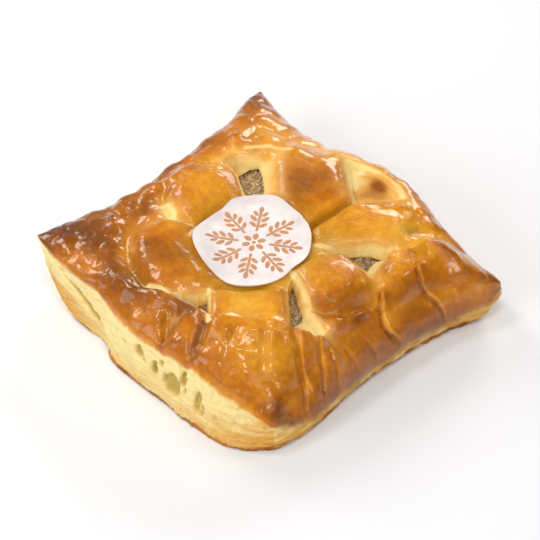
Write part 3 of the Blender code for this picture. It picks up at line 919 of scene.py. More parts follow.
# Rounds the rolled sides and blunts two tips; the cut front keeps its sharp brow
def roundEdges(piece, net):
    s, t, level = net.s, net.t, net.level
    fromNear, fromFar = np.hypot(1 - s, 1 + t), np.hypot(1 + s, 1 - t)
    nose = np.maximum(smoothstep(0.16, 0.05, fromNear), smoothstep(0.10, 0.03, fromFar))
    nose = nose * np.where(net.isTop, 1.0, level)
    onTop, onWall = smoothstep(0.93, 0.99, np.maximum(s, t)), smoothstep(0.5, 0.9, level)
    rolled = np.where(net.isTop, onTop, onWall)
    awayFromFront = smoothstep(-0.97, -0.86, t) * smoothstep(-0.97, -0.86, s)
    mask = np.maximum(rolled, nose) * np.maximum(awayFromFront, nose)
    aboveBase = net.inwards > 0.99
    relax(piece, np.where(aboveBase, mask, 0.0), crust["relaxRounds"])
    blunt = smoothstep(0.30, 0.10, fromNear)
    blunt = blunt + crust["farTipShare"] * smoothstep(0.16, 0.05, fromFar)
    blunt = blunt * np.where(net.isTop, 1.0, smoothstep(-0.12, 0.35, level))
    relax(piece, np.where(aboveBase, blunt, 0.0), crust["tipRounds"])


# Adds the dough of the walls, below the ragged lower edge of the glaze
def cutWithWalls(net, points, cut):
    ragged = crustNoise(points, "ragged") * 0.10 + crustNoise(points, "frayed") * 0.04
    ragged = ragged * np.where(net.onFront, 0.5, 1.0)
    blur = np.where(net.onRolled, 0.12, 0.03)
    below = smoothstep(0.0, 1.0, (net.glazeEdge - net.level - ragged) / (2 * blur) + 0.5)
    return np.maximum(cut, np.where(net.onWall, below, 0.0))


# Wobble, puffs, blisters and wrinkles of the glaze, and layers and crumb of the dough
def surfaceRelief(net, points, cut):
    x, y = points[:, 0], points[:, 1]
    glazed = 1 - cut
    calm = np.clip(spotsAt(x, y, calmSpots), 0, 0.9)
    rough = np.clip(spotsAt(x, y, roughSpots), 0, 1)
    blistered = np.maximum(smoothstep(-0.15, 0.45, crustNoise(points, "patches")), rough)
    blistered = blistered * (1 - calm) * np.where(net.isTop, 1.0, 0.4)
    onRim = smoothstep(0.60, 0.80, net.out) * net.inwards
    puffed = (0.2 + 0.8 * onRim) * (1 - 0.6 * calm) * np.where(net.isTop, 1.0, 0.5)
    push = crust["wobble"] * crustNoise(points, "wobble") * glazed
    push += crust["puffy"] * (np.abs(crustNoise(points, "puffy")) - 0.25) * glazed * puffed
    blisters = np.maximum(crustNoise(points, "blisters"), -0.15)
    push += crust["blister"] * glazed * blistered * blisters
    push += crust["wrinkle"] * glazed * crustNoise(points, "wrinkles") * (1 - 0.7 * calm)
    layers = crustNoise(points, "layers") + crust["thinLayer"] * crustNoise(points, "thinLayers")
    push += crust["layer"] * layers * np.where(net.onWall, 1.0 + 0.5 * net.towardsRight, 0.3) * cut
    push += crust["crumb"] * crustNoise(points, "crumb") * cut
    return push


# The folds run on over the rolled sides; their grooves get painted shade and their lips a painted
# highlight
def foldRelief(net, points):
    x, y = points[:, 0], points[:, 1]
    onSides = np.where(net.onRolled, smoothstep(0.25, 0.7, net.level), 0.0)
    onSides = np.where(net.isTop, smoothstep(0.90, 1.0, np.maximum(net.s, net.t)), onSides)
    push, shade = np.zeros(len(x)), np.zeros(len(x))
    for values in lid["folds"]:
        line, step = values[:2]
        push += crust["foldOnSides"] * foldAt(x, y, *values) * onSides
        away = distanceToLine(x, y, line)
        groove, lip = np.exp(-(((away + 0.3) / 0.6) ** 2)), np.exp(-(((away - 0.6) / 0.4) ** 2))
        shade += (0.22 * groove - 0.24 * lip) * step / 2 * np.where(net.isTop, 1.0, onSides)
    return push, shade


# Torn strands and holes of the crumb on the cut walls
def crumbRelief(net, points, cut):
    x, z = points[:, 0], points[:, 2]
    strands = crustNoise(points, "pull") * smoothstep(2, 12, x) * cut * (1 - net.towardsRight)
    pockets = smoothstep(0.34, 0.62, crustNoise(points, "pockets"))
    pockets = pockets * np.where(net.onWall & (z > 1.5), cut, 0.0) * np.where(net.onFront, 1.0, 0.4)
    holes = np.where(net.onFront, holesInFront(x, z), 0.0)
    return crust["pull"] * strands, np.maximum(holes, crust["pocket"] * pockets)


def pushOut(piece, net, points, push):
    lip = np.where(net.onWall & (net.inwards > 0.99), np.exp(-((points[:, 2] / 1.1) ** 2)), 0.0)
    push = push + crust["footLip"] * lip * (1 + crustNoise(points, "lip"))
    push = np.where(net.onWall & (net.level < 0.001), 0.0, push)
    moved = points + readNormals(piece) * push[:, None]
    height, ceiling = np.maximum(moved[:, 2], 0.0), crust["ceiling"]
    above = ceiling + (height - ceiling) * crust["aboveCeiling"]
    moved[:, 2] = np.where(height > ceiling, above, height)
    writePoints(piece, moved)
    return moved[:, 2]


# Tone of the glaze: browning, painted shade in the fold grooves and along some valleys, and a
# painted highlight on the fold lips
def bakeAndShadeOf(net, points, raised, cut, foldShadeAndHighlight):
    tones = crustTones
    bake = tones["bake"] + tones["wideNoise"] * crustNoise(points, "bakeWide")
    bake = bake + tones["fineNoise"] * crustNoise(points, "bakeFine")
    bake = bake + tones["byRise"] * np.clip(raised, -2.0, 2.0) * net.inwards
    bake = bake + spotsAt(points[:, 0], points[:, 1], bakeAndShadeSpots) + foldShadeAndHighlight
    onTop = tones["rim"] * smoothstep(0.90, 0.99, net.out) - tones["cutPaler"] * cut
    onSides = np.where(net.onRolled, tones["rolledSide"] * smoothstep(0.95, 0.5, net.level), 0.0)
    bake = bake + np.where(net.isTop, onTop, onSides)
    soft = tones["softAbove"]
    return np.where(bake > soft, soft + (bake - soft) * 0.5, bake)


# Painted olive shade in the hollows of the lid and in a ring round the disc's edge
def hollowShadeOf(net, points, raised):
    hubX, hubY, hubRadius, _ = lid["hub"]
    x, y = points[:, 0], points[:, 1]
    fromHub = (np.hypot(x - hubX, y - hubY) - hubRadius * 0.85) / 5.0
    lidShade = crustTones["shadeRoundHub"] * np.exp(-(fromHub**2)) + spotsAt(x, y, hollowShadeSpots)
    olive = np.clip(-raised / 2.2, 0, 1) + np.where(net.isTop, lidShade, 0.0)
    return np.clip(olive * smoothstep(1.0, 0.82, net.out), 0, 1) * net.inwards


# Tan of the dough; on the lid it takes in the toast spots, painted shade inside some slashes among
# them
def tanOf(net, points, toast):
    x, z = points[:, 0], points[:, 2]
    tones = crustTones
    front = tones["tanLeft"] * smoothstep(-22, -52, x) * smoothstep(22, 12, z)
    front = np.where(net.onFront, front + tones["tanNear"] * smoothstep(14, 44, x), 0.0)
    walls = tones["tanSides"] + tones["tanSidesVary"] * crustNoise(points, "sides")
    walls = np.maximum(walls * net.towardsRight, 0.0) + tones["tanLow"] * smoothstep(20, 2, z)
    top = tones["tanPatches"] * np.maximum(crustNoise(points, "patchy") + 0.1, 0.0) + toast
    return np.clip(front + np.where(net.isTop, top, walls), 0, 1)


# Browned band along the foot of the walls, and the whole underside
def lowOf(net, points):
    flat = points * np.array([1.0, 1.0, 0.0])
    band = crustTones["bandHeight"] + crustTones["bandVaries"] * crustNoise(flat, "foot")
    low = smoothstep(1.0, 0.05, points[:, 2] / np.maximum(band, 1.2))
    return np.where(net.onWall, low, 0.0)


def makeCrust():
    net, faces = layOutCrust()
    points, cut = shapeCrust(net)
    piece = newMesh("pastry_crust", points, faces)
    roundEdges(piece, net)
    points = readPoints(piece)
    cut = cutWithWalls(net, points, cut)
    foldPush, foldShadeAndHighlight = foldRelief(net, points)
    strands, holes = crumbRelief(net, points, cut)
    push = surfaceRelief(net, points, cut) + foldPush + strands - holes
    height = pushOut(piece, net, points, push)

    raised, topCount = np.zeros(len(height)), net.topCount
    side, reach = crust["columns"] + 1, crustTones["riseReach"]
    raised[:topCount] = standingOut(height[:topCount], side, reach)
    toast = np.where(net.isTop, spotsAt(points[:, 0], points[:, 1], toastAndShadeSpots), 0.0)
    gloss = crustTones["middleGloss"]
    masks = {
        "deep": hollowShadeOf(net, points, raised),
        "gloss": gloss + (1 - gloss) * smoothstep(0.42, 0.66, net.out),
        "bake": bakeAndShadeOf(net, points, raised, cut, foldShadeAndHighlight),
        "cut": cut,
        "hole": np.clip(holes / 2.0, 0, 1),
        "low": lowOf(net, points),
        "tan": tanOf(net, points, toast),
        "toast": toast,
    }
    for name, values in masks.items():
        writeMask(piece, name, values)
    return piece


crustPiece = makeCrust()
print("  faces", len(crustPiece.data.polygons))

print("chamber under the lid")

chamber = {
    "centre": (0.8, -4.0),
    "halfSize": 40.5,
    "floor": 9.0,
    "thickness": 4.3,
    "fall": 6.0,
    "belowBack": 4.5,
    "rounding": 0.22,
    "gap": 0.3,
    "columns": 40,
}


def chamberPlan(s, t, halfSize):
    centreX, centreY = chamber["centre"]
    rounding = chamber["rounding"]
    x = centreX + halfSize * s * np.sqrt(1 - rounding * t**2)
    return x, centreY + halfSize * t * np.sqrt(1 - rounding * s**2)


def chamberRoof(x, y, s, t):
    fall = chamber["fall"] * np.maximum(np.abs(s), np.abs(t)) ** 6
    inBack = depthInside(x, y, slashes["back"]["top"])
    backFloor = chamber["belowBack"] * smoothstep(-3.0, 1.0, inBack)
    return lidOver(x, y) - chamber["thickness"] - fall - backFloor


# A closed block over the square: its top and bottom are lattices, joined round the rim
def closedBlock(name, columns, place):
    line = np.linspace(-1, 1, columns + 1)
    t, s = np.meshgrid(line, line, indexing="ij")
    s, t = s.ravel(), t.ravel()
    grid = np.arange(len(s)).reshape(columns + 1, columns + 1)
    top = np.stack(place(s, t, np.ones(len(s))), -1)
    bottom = np.stack(place(s, t, np.zeros(len(s))), -1)
    upper, rim = latticeParts(grid)
    lower = upper[:, ::-1] + len(s)
    follow = np.roll(rim, -1)
    side = np.stack((rim, rim + len(s), follow + len(s), follow), -1)
    faces = np.concatenate((upper, lower, side)).tolist()
    return newMesh(name, np.concatenate((top, bottom)), faces)


def placeChamber(s, t, level):
    x, y = chamberPlan(s, t, chamber["halfSize"])
    return x, y, chamber["floor"] + (chamberRoof(x, y, s, t) - chamber["floor"]) * level


def hollowCrust(piece):
    cutter = closedBlock("chamber", chamber["columns"], placeChamber)
    writeMask(cutter, "cut", np.ones(len(cutter.data.vertices)))
    hollow = piece.modifiers.new("chamber", "BOOLEAN")
    hollow.operation = "DIFFERENCE"
    hollow.solver = "MANIFOLD"
    hollow.object = cutter
    applyModifiers(piece)
    bpy.data.objects.remove(cutter)


hollowCrust(crustPiece)
print("  faces", len(crustPiece.data.polygons), [a.name for a in crustPiece.data.attributes])
crustPiece.data.shade_smooth()
crustPiece.data.set_sharp_from_angle(angle=math.radians(62))

print("filling")

filling = {
    "columns": 110,
    "lump": 1.5,
    "lumpSize": 5.5,
    "belowRoof": 0.9,
    "bitsPerArea": 0.42,
    "bitSize": 1.15,
    # Least and most turn and size of a lump, along x, y and z
    "bitTurns": ((0, 0, 0), (6.28, 6.28, 6.28)),
    "bitShapes": ((0.45, 0.35, 0.3), (1.1, 0.9, 0.6)),
    "seed": 7,
}


def placeFilling(s, t, level):
    x, y = chamberPlan(s, t, chamber["halfSize"] - 2 * chamber["gap"])
    points = np.stack((x, y, np.zeros(len(x))), -1)
    lumps = filling["lump"] * (cloudNoise(points, filling["lumpSize"], 21, 3) - 0.4)
    top = chamberRoof(x, y, s, t) - filling["belowRoof"] + np.minimum(lumps, 0.5)
    floor = chamber["floor"] + chamber["gap"]
    return x, y, floor + (top - floor) * level


fillingPiece = closedBlock("scallop_filling", filling["columns"], placeFilling)
fillingPoints = readPoints(fillingPiece)
fillingX, fillingY, fillingZ = fillingPoints.T
openings = [depthInside(fillingX, fillingY, slash["top"]) for slash in slashes.values()]
nearOpening, aboveFloor = np.max(openings, axis=0) > -2.0, fillingZ > chamber["floor"] + 2
inTheOpen = nearOpening & aboveFloor
writeMask(fillingPiece, "open", inTheOpen)
fillingPiece.data.shade_smooth()

print("wafer disc")

wafer = {
    "centre": (-1.2, -6.6),
    # Angle from +X in degrees and radius: the disc was cut by hand and its edge is uneven
    "outline": ((-15, 18.4), (1, 17.7), (18, 18.9), (41, 19.2), (67, 20), (94, 19.8), (115, 21.4),
                (138, 21.3),
                (155, 20.3), (170, 18.3), (185, 18.4), (213, 20.5), (249, 19.9), (297, 20.4),
                (320, 19.7), (345, 18.4), (361, 17.7)),
    "thickness": 0.55,
    "columns": 96,
    "lift": 0.15,
    "drape": 3.5,
    "stiffness": 0.25,
    "ripple": 0.18,
    "rippleSize": 9,
}


def placeWafer(s, t, level):
    x = s * np.sqrt(1 - t**2 / 2)
    y = t * np.sqrt(1 - s**2 / 2)
    reach = np.hypot(x, y)
    angle = np.degrees(np.arctan2(y, x)) % 360
    radius = throughStations(wafer["outline"], 1, angle)
    x, y = x * radius + wafer["centre"][0], y * radius + wafer["centre"][1]
    points = np.stack((x, y, np.zeros(len(x))), -1)
    ripple = wafer["ripple"] * (cloudNoise(points, wafer["rippleSize"], 31, 2) + 0.5) * reach
    under = lidOver(x, y)
    turns = [(math.cos(turn), math.sin(turn)) for turn in np.linspace(0, 2 * math.pi, 9)[:-1]]
    drape = wafer["drape"]
    mean = sum(lidOver(x + drape * dx, y + drape * dy) for dx, dy in turns) / len(turns)
    over = (mean - under + wafer["stiffness"]) / 2
    lift = over + np.sqrt(over**2 + wafer["stiffness"] ** 2)
    return x, y, under + lift + wafer["lift"] + ripple + wafer["thickness"] * level


waferPiece = closedBlock("printed_wafer", wafer["columns"], placeWafer)
waferPiece.data.shade_smooth()
waferPiece.data.set_sharp_from_angle(angle=math.radians(50))

print("materials")


def fromScreen(red, green, blue):
    parts = []
    for value in (red, green, blue):
        value = value / 255
        parts.append(value / 12.92 if value <= 0.04045 else ((value + 0.055) / 1.055) ** 2.4)
    return (*parts, 1.0)


# The colours among the values of a finish
def coloursOf(values):
    return {key: fromScreen(*value) for key, value in values.items() if np.shape(value) == (3,)}


# A socket that can be reckoned with like a number
class Signal:
    def __init__(self, finish, socket):
        self.finish = finish
        self.socket = socket

    def reckon(self, operation, *values):
        return self.finish.node("ShaderNodeMath", {"operation": operation}, *values)

    def __add__(self, other):
        return self.reckon("ADD", self, other)

    def __radd__(self, other):
        return self.reckon("ADD", other, self)

    def __sub__(self, other):
        return self.reckon("SUBTRACT", self, other)

    def __rsub__(self, other):
        return self.reckon("SUBTRACT", other, self)

    def __mul__(self, other):
        return self.reckon("MULTIPLY", self, other)

    def __rmul__(self, other):
        return self.reckon("MULTIPLY", other, self)

    def __truediv__(self, other):
        return self.reckon("DIVIDE", self, other)

    def __pow__(self, other):
        return self.reckon("POWER", self, other)

    def greater(self, other):
        return self.reckon("MAXIMUM", self, other)

    def size(self):
        return self.reckon("ABSOLUTE", self)

    # 0 below low and 1 above high, with a soft step between; high may be the lower one
    def step(self, low, high):
        flip = low > high
        settings = {"interpolation_type": "SMOOTHSTEP"}
        ends = (min(low, high), max(low, high), 1.0 if flip else 0.0, 0.0 if flip else 1.0)
        return self.finish.node("ShaderNodeMapRange", settings, self, *ends)


class Graph:
    def __init__(self, tree):
        self.tree = tree

    # One node: its settings first, then values or links for its sockets, by place or by name
    def node(self, kind, settings=None, *values, out=0, **named):
        made = self.tree.nodes.new(kind)
        for key, value in (settings or {}).items():
            if key == "stops":
                ramp = made.color_ramp
                while len(ramp.elements) < len(value):
                    ramp.elements.new(0.5)
                for element, (place, colour) in zip(ramp.elements, value):
                    element.position = place
                    element.color = colour
            else:
                setattr(made, key, value)
        for place, value in [*enumerate(values), *named.items()]:
            self.feed(made.inputs[place], value)
        return Signal(self, made.outputs[out])

    def feed(self, socket, value):
        if isinstance(value, Signal):
            self.tree.links.new(value.socket, socket)
        elif value is not None:
            socket.default_value = value

    # Another output of the node that a signal comes from
    def also(self, signal, out):
        return Signal(self, signal.socket.node.outputs[out])


class Finish(Graph):
    def __init__(self, name):
        self.material = bpy.data.materials.new(name)
        self.material.use_nodes = True
        super().__init__(self.material.node_tree)
        self.shader = self.tree.nodes["Principled BSDF"]

    def mask(self, name):
        return self.node("ShaderNodeAttribute", {"attribute_name": name}, out=2)

    def place(self):
        return self.node("ShaderNodeTexCoord", None, out=3)

    def noise(self, place, size, detail=3.0, rough=0.5, stretch=None, distortion=0.0):
        if stretch:
            place = self.node("ShaderNodeVectorMath", {"operation": "MULTIPLY"}, place, stretch)
        return self.node(
            "ShaderNodeTexNoise", None, Vector=place, Scale=1 / (size * mm), Detail=detail,
            Roughness=rough, Distortion=distortion,
        )

    def mix(self, share, low, high):
        unused = [None] * 5
        return self.node("ShaderNodeMix", {"data_type": "RGBA"}, share, *unused, low, high, out=2)

    def bump(self, height, distance, strength=1.0, before=None):
        return self.node(
            "ShaderNodeBump", None,
            Strength=strength, Distance=distance * mm, Height=height, Normal=before,
        )

    def set(self, **sockets):
        for name, value in sockets.items():
            self.feed(self.shader.inputs[name.replace("_", " ")], value)


crustFinish = {
    "straw": (246, 196, 84),
    "gold": (234, 160, 34),
    "amber": (198, 116, 0),
    "brown": (142, 76, 2),
    "dark": (98, 46, 8),
    # Olive tint of the painted shade in the hollows and round the disc
    "olive": (172, 126, 30),
    "cream": (252, 232, 168),
    "tanCut": (232, 176, 88),
    "toastBrown": (150, 84, 28),
    "holeShade": (196, 166, 74),
    "baseBrown": (150, 86, 30),
    "baseGold": (192, 128, 56),
    # Where each colour of the glaze stands on the scale of bake, which also carries painted shade
    # and painted highlight
    "ramp": {"straw": 0.05, "gold": 0.34, "amber": 0.56, "brown": 0.82, "dark": 1.0},
    # Noises: size in millimetres, detail, roughness, then stretch and distortion where they are set
    "noises": {
        "mottle": (2.2, 5.0, 0.6),
        "cloud": (9.0, 3.0, 0.5),
        "speck": (0.55, 3.0, 0.6),
        "streak": (2.4, 4.0, 0.6, (0.35, 0.35, 2.4)),
        "fleck": (0.8, 3.0, 0.6),
        "wrinkle": (1.1, 4.0, 0.55, None, 0.6),
        "crackle": (0.45, 3.0, 0.55),
        "flake": (1.0, 4.0, 0.6, (0.3, 0.3, 2.6)),
    },
    "glazeRoughness": 0.24,
    "coatRoughness": 0.12,
    "bumpDepth": 0.34,
}


def finishCrust(piece):
    colours = coloursOf(crustFinish)
    look = Finish("glazed_crust")
    place = look.place()

    def noise(name):
        return look.noise(place, *crustFinish["noises"][name])

    bake, cut, hole, low, tan = (look.mask(name) for name in ("bake", "cut", "hole", "low", "tan"))
    deep, gloss, toast = (look.mask(name) for name in ("deep", "gloss", "toast"))
    mottle = noise("mottle") - 0.5
    cloud = noise("cloud") - 0.5
    speck = noise("speck") - 0.5
    # The bake mask carries browning, painted shade in folds and valleys and a painted highlight on
    # the fold lips
    tone = bake + mottle * 0.30 + cloud * 0.30 + speck * 0.10
    stops = [(share, colours[name]) for name, share in crustFinish["ramp"].items()]
    glaze = look.node("ShaderNodeValToRGB", {"stops": stops}, tone)
    # The deep mask mixes painted olive shade into the glaze, in the hollows and round the disc
    glaze = look.mix((deep + mottle * 0.5) * 0.6, glaze, colours["olive"])
    streak = noise("streak") - 0.5
    fleck = noise("fleck")
    # tan and toast carry toasted patches and painted shade inside some slashes
    dough = look.mix((tan + streak * 1.1).step(0.2, 1.0), colours["cream"], colours["tanCut"])
    dough = look.mix((toast + streak * 0.6).step(0.8, 1.7), dough, colours["toastBrown"])
    dough = look.mix(hole.step(0.1, 0.9) * 0.75, dough, colours["holeShade"])
    dough = look.mix(fleck.step(0.60, 0.78) * 0.30, dough, colours["tanCut"])
    patches = (cloud + mottle * 0.6).step(-0.10, 0.22)
    baked = look.mix(patches, colours["baseBrown"], colours["baseGold"])
    dough = look.mix((low + mottle * 0.8).step(0.45, 0.95), dough, baked)
    colour = look.mix(cut, glaze, dough)
    wrinkle = noise("wrinkle")
    crackle = noise("crackle")
    flake = noise("flake")
    relief = (wrinkle * 0.75 + crackle * 0.25) * (1 - cut) + (flake * 0.8 + crackle * 0.35) * cut
    normal = look.bump(relief, crustFinish["bumpDepth"])
    look.set(
        Base_Color=colour,
        Roughness=(crustFinish["glazeRoughness"] + mottle * 0.22) * (1 - cut) + 0.75 * cut,
        Coat_Weight=(1 - cut) * gloss * (0.95 + cloud * 0.6),
        Coat_Roughness=crustFinish["coatRoughness"],
        Coat_IOR=1.4,
        Specular_IOR_Level=0.22,
        Subsurface_Weight=0.12,
        Subsurface_Radius=(1.0, 0.55, 0.25),
        Subsurface_Scale=0.0022,
        Normal=normal,
    )
    piece.data.materials.clear()
    piece.data.materials.append(look.material)


fillingFinish = {
    "dark": (138, 100, 56),
    "light": (194, 164, 118),
    "grain": (236, 222, 192),
    "bits": (226, 204, 164),
    "roughness": 0.34,
}


def finishFilling(piece):
    colours = coloursOf(fillingFinish)
    look = Finish("scallop_sauce")
    place = look.place()
    lumps = look.noise(place, 3.0, 4.0, 0.55)
    grain = look.noise(place, 0.7, 4.0, 0.6)
    colour = look.mix(lumps.step(0.35, 0.7), colours["dark"], colours["light"])
    colour = look.mix(grain.step(0.55, 0.75) * 0.6, colour, colours["grain"])
    colour = look.mix(look.mask("bit") * 0.6, colour, colours["bits"])
    look.set(
        Base_Color=colour,
        Roughness=fillingFinish["roughness"],
        Coat_Weight=0.3,
        Coat_Roughness=0.2,
        Normal=look.bump(lumps * 0.4 + grain * 0.6, 0.5, 0.8),
    )
    scatterBits(piece, look.material)


# Tree that scatters small lumps over the parts that lie open, and the values of its inputs
def bitsTree(material):
    graph = Graph(bpy.data.node_groups.new("filling_bits", "GeometryNodeTree"))
    inputs = {
        "Geometry": None,
        "Bits per area": filling["bitsPerArea"] / mm**2,
        "Bit size": filling["bitSize"] * mm,
        "Seed": filling["seed"],
    }
    kinds = ("NodeSocketGeometry", "NodeSocketFloat", "NodeSocketFloat", "NodeSocketInt")
    sockets = [
        graph.tree.interface.new_socket(name=name, in_out="INPUT", socket_type=kind)
        for name, kind in zip(inputs, kinds)
    ]
    graph.tree.interface.new_socket(name="Geometry", in_out="OUTPUT", socket_type=kinds[0])
    base = graph.node("NodeGroupInput")
    density, size, seed = (graph.also(base, name) for name in ("Bits per area", "Bit size", "Seed"))
    isOpen = graph.node("GeometryNodeInputNamedAttribute", None, Name="open")
    spots = graph.node(
        "GeometryNodeDistributePointsOnFaces", None,
        Mesh=base, Selection=isOpen, Density=density, Seed=seed,
    )
    ball = graph.node("GeometryNodeMeshIcoSphere", None, Radius=size, Subdivisions=2)
    dent = graph.node("ShaderNodeTexNoise", {"noise_dimensions": "3D"}, Scale=900.0, Detail=2.0)
    normal = graph.node("GeometryNodeInputNormal")
    howFar = (dent - 0.5) * size * 1.1
    shift = graph.node("ShaderNodeVectorMath", {"operation": "SCALE"}, normal, Scale=howFar)
    lump = graph.node("GeometryNodeSetPosition", None, Geometry=ball, Offset=shift)
    lump = graph.node(
        "GeometryNodeStoreNamedAttribute", {"domain": "POINT"}, Geometry=lump, Name="bit", Value=1.0
    )
    turn, scale = (
        graph.node("FunctionNodeRandomValue", {"data_type": "FLOAT_VECTOR"}, least, most, Seed=seed)
        for least, most in (filling["bitTurns"], filling["bitShapes"])
    )
    bits = graph.node(
        "GeometryNodeInstanceOnPoints", None,
        Points=spots, Instance=lump, Rotation=turn, Scale=scale,
    )
    both = graph.node("GeometryNodeJoinGeometry")
    for part in (base, bits):
        graph.feed(both.socket.node.inputs[0], part)
    plain = graph.node("GeometryNodeRealizeInstances", None, Geometry=both)
    done = graph.node("GeometryNodeSetMaterial", None, Geometry=plain, Material=material)
    graph.feed(graph.tree.nodes.new("NodeGroupOutput").inputs[0], done)
    values = {socket.identifier: value for socket, value in zip(sockets, inputs.values())}
    return graph.tree, values


# Joins the lumps to the piece
def scatterBits(piece, material):
    scatter = piece.modifiers.new("filling_bits", "NODES")
    scatter.node_group, values = bitsTree(material)
    for key, value in values.items():
        if value is not None:
            scatter[key] = value
    applyModifiers(piece)
    piece.data.materials.clear()
    piece.data.materials.append(material)
    print("  faces of the filling", len(piece.data.polygons))


waferFinish = {
    "paper": (226, 216, 222),
    "paperPale": (240, 233, 238),
    "ink": (190, 132, 92),
    "inkPale": (206, 156, 118),
    "sprigs": 8,
    "turn": 11.0,
    # Capsules of one sprig: start and end along and across its stem, half width
    "stem": ((5.6, 0.0), (14.4, 0.0), 0.5),
    # Leaves: middle along and across the stem, half length, half width, turn in degrees
    "leaves": ((8.2, 1.75, 1.5, 0.72, 48), (11.0, 2.0, 1.65, 0.78, 44),
               (13.4, 1.6, 1.35, 0.68, 36), (15.2, 0.0, 1.5, 0.8, 0)),
    "rosette": (4.4, 6, 0.95),
    "dot": 1.25,
}


# The print is drawn round the disc's middle: a ring of plain leaf sprigs and a small rosette
def finishWafer(piece):
    look = Finish("wafer_print")
    place = look.place()
    centre = [(wafer["centre"][axis] - outline["origin"][axis]) * mm for axis in (0, 1)]
    parts = look.node("ShaderNodeSeparateXYZ", None, place)
    across = look.also(parts, 1)
    x, y = (parts - centre[0]) / mm, (across - centre[1]) / mm
    waver = look.noise(place, 1.4, 2.0, 0.5) - 0.5
    radius = (x * x + y * y) ** 0.5 + waver * 0.35
    angle = y.reckon("ARCTAN2", y, x) / (2 * math.pi) + waver * 0.004

    def sector(count, turn):
        part = angle * count + turn / 360 * count
        part = part.reckon("WRAP", part, 0.5, -0.5)
        bend = part * (2 * math.pi / count)
        along = radius * bend.reckon("COSINE", bend)
        beside = (radius * bend.reckon("SINE", bend)).size()
        return along, beside

    edge = 0.16
    along, beside = sector(waferFinish["sprigs"], waferFinish["turn"])
    (start, _), (end, _), halfWidth = waferFinish["stem"]
    pastEnds = ((along - (start + end) / 2).size() - (end - start) / 2).greater(0)
    ink = ((beside * beside + pastEnds * pastEnds) ** 0.5).step(halfWidth + edge, halfWidth - edge)
    for middle, aside, halfLength, halfBreadth, turn in waferFinish["leaves"]:
        cosine, sine = math.cos(math.radians(turn)), math.sin(math.radians(turn))
        u, v = along - middle, beside - aside
        longways = (u * cosine + v * sine) / halfLength
        sideways = (v * cosine - u * sine) / halfBreadth
        ink = ink.greater((longways * longways + sideways * sideways).step(1.25, 0.85))
    rosetteRadius, petals, petalSize = waferFinish["rosette"]
    along, beside = sector(petals, 0)
    u, v = (along - rosetteRadius * 0.62) / (petalSize * 1.5), beside / petalSize
    ink = ink.greater((u * u + v * v).step(1.25, 0.85))
    ink = ink * radius.step(waferFinish["dot"] - 0.1, waferFinish["dot"] + 0.1)
    ink = ink.greater(radius.step(waferFinish["dot"] * 0.6 + 0.1, waferFinish["dot"] * 0.6 - 0.1))
    fibre = look.noise(place, 0.6, 4.0, 0.6)
    cloud = look.noise(place, 6.0, 2.0, 0.5)
    paper, paperPale, inkDark, inkPale = (
        fromScreen(*waferFinish[name]) for name in ("paper", "paperPale", "ink", "inkPale")
    )
    paper = look.mix(cloud.step(0.3, 0.7), paper, paperPale)
    inkColour = look.mix(fibre.step(0.35, 0.7), inkDark, inkPale)
    colour = look.mix(ink, paper, inkColour)
    look.set(Base_Color=colour, Roughness=0.7, Normal=look.bump(fibre, 0.06, 0.6))
    piece.data.materials.append(look.material)


finishCrust(crustPiece)
finishFilling(fillingPiece)
finishWafer(waferPiece)

print("floor, lights and camera")

studio = {
    "floorColour": (240, 243, 254),
    "floorSize": 4.0,
    "azimuth": 44.0,
    "elevation": 48.0,
    "distance": 0.9,
    "lens": 176.4,
    "aim": (0.0, 0.0, 18.0),
    "aimDrop": 4.08,
    "worldStrength": 0.13,
    "lightsAim": (0, 0, 0.02),
    "lightTint": (1.0, 0.96, 0.86),
    # Soft boxes: place, size across and up, watts
    "lights": (
        ("overhead", (0.16, -0.16, 0.93), (0.20, 0.20), 1.7),
        ("camera_side", (0.45, -0.52, 0.78), (0.17, 0.17), 1.0),
        ("beyond", (0.22, 0.60, 0.80), (0.16, 0.16), 0.8),
        ("low_right", (0.88, -0.28, 0.36), (0.14, 0.14), 0.6),
        ("overhead_left", (-0.42, -0.18, 0.85), (0.20, 0.20), 1.8),
        ("left_box", (-0.85, 0.05, 0.55), (0.32, 0.40), 3.3),
        ("front_left", (-0.25, -0.95, 0.60), (0.8, 0.6), 4.9),
        ("front_right", (0.95, -0.45, 0.75), (0.8, 0.8), 2.2),
        ("back_box", (-0.45, 0.95, 0.50), (0.46, 0.28), 4.4),
    ),
}


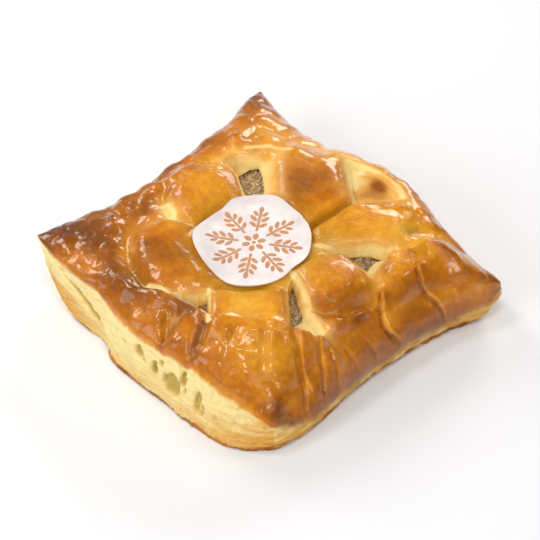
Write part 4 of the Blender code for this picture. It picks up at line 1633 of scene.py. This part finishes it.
def makeFloor():
    bpy.ops.mesh.primitive_plane_add(size=studio["floorSize"])
    floor = bpy.context.object
    floor.name = "pale_floor"
    look = Finish("pale_floor")
    look.set(Base_Color=fromScreen(*studio["floorColour"]), Roughness=0.8)
    floor.data.materials.append(look.material)


def makeCamera():
    azimuth, elevation = math.radians(studio["azimuth"]), math.radians(studio["elevation"])
    back = Vector((
        math.sin(azimuth) * math.cos(elevation),
        -math.cos(azimuth) * math.cos(elevation),
        math.sin(elevation),
    ))
    right = Vector((math.cos(azimuth), math.sin(azimuth), 0))
    up = back.cross(right)
    aim = (Vector(studio["aim"]) - Vector(origin)) * mm - up * studio["aimDrop"] * mm
    camera = bpy.data.objects.new("camera", bpy.data.cameras.new("camera"))
    camera.data.lens = studio["lens"]
    camera.data.sensor_width = 36.0
    camera.data.clip_start = 0.02
    pose = Matrix((right, up, back)).transposed().to_4x4()
    pose.translation = aim + back * studio["distance"]
    camera.matrix_world = pose
    bpy.context.scene.collection.objects.link(camera)
    bpy.context.scene.camera = camera


def addLight(name, place, size, watts):
    light = bpy.data.objects.new(name, bpy.data.lights.new(name, "AREA"))
    light.data.shape = "RECTANGLE"
    light.data.size, light.data.size_y = size
    light.data.energy = watts
    light.data.color = studio["lightTint"]
    light.location = place
    towards = Vector(studio["lightsAim"]) - Vector(place)
    light.rotation_euler = towards.to_track_quat("-Z", "Y").to_euler()
    bpy.context.scene.collection.objects.link(light)


def makeLights():
    world = bpy.data.worlds.new("studio")
    bpy.context.scene.world = world
    world.use_nodes = True
    sky = world.node_tree.nodes["Background"]
    sky.inputs["Color"].default_value = (1, 1, 1, 1)
    sky.inputs["Strength"].default_value = studio["worldStrength"]
    bpy.context.scene.view_settings.view_transform = "Standard"
    for name, place, size, watts in studio["lights"]:
        addLight(name, place, size, watts)


makeFloor()
makeCamera()
makeLights()

for piece, node, slotName in (
    (crustPiece, "pastry", "glazed_pastry"),
    (fillingPiece, "filling", "filling"),
    (waferPiece, "wafer_disc", "wafer"),
):
    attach(piece, "root")
    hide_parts(node)
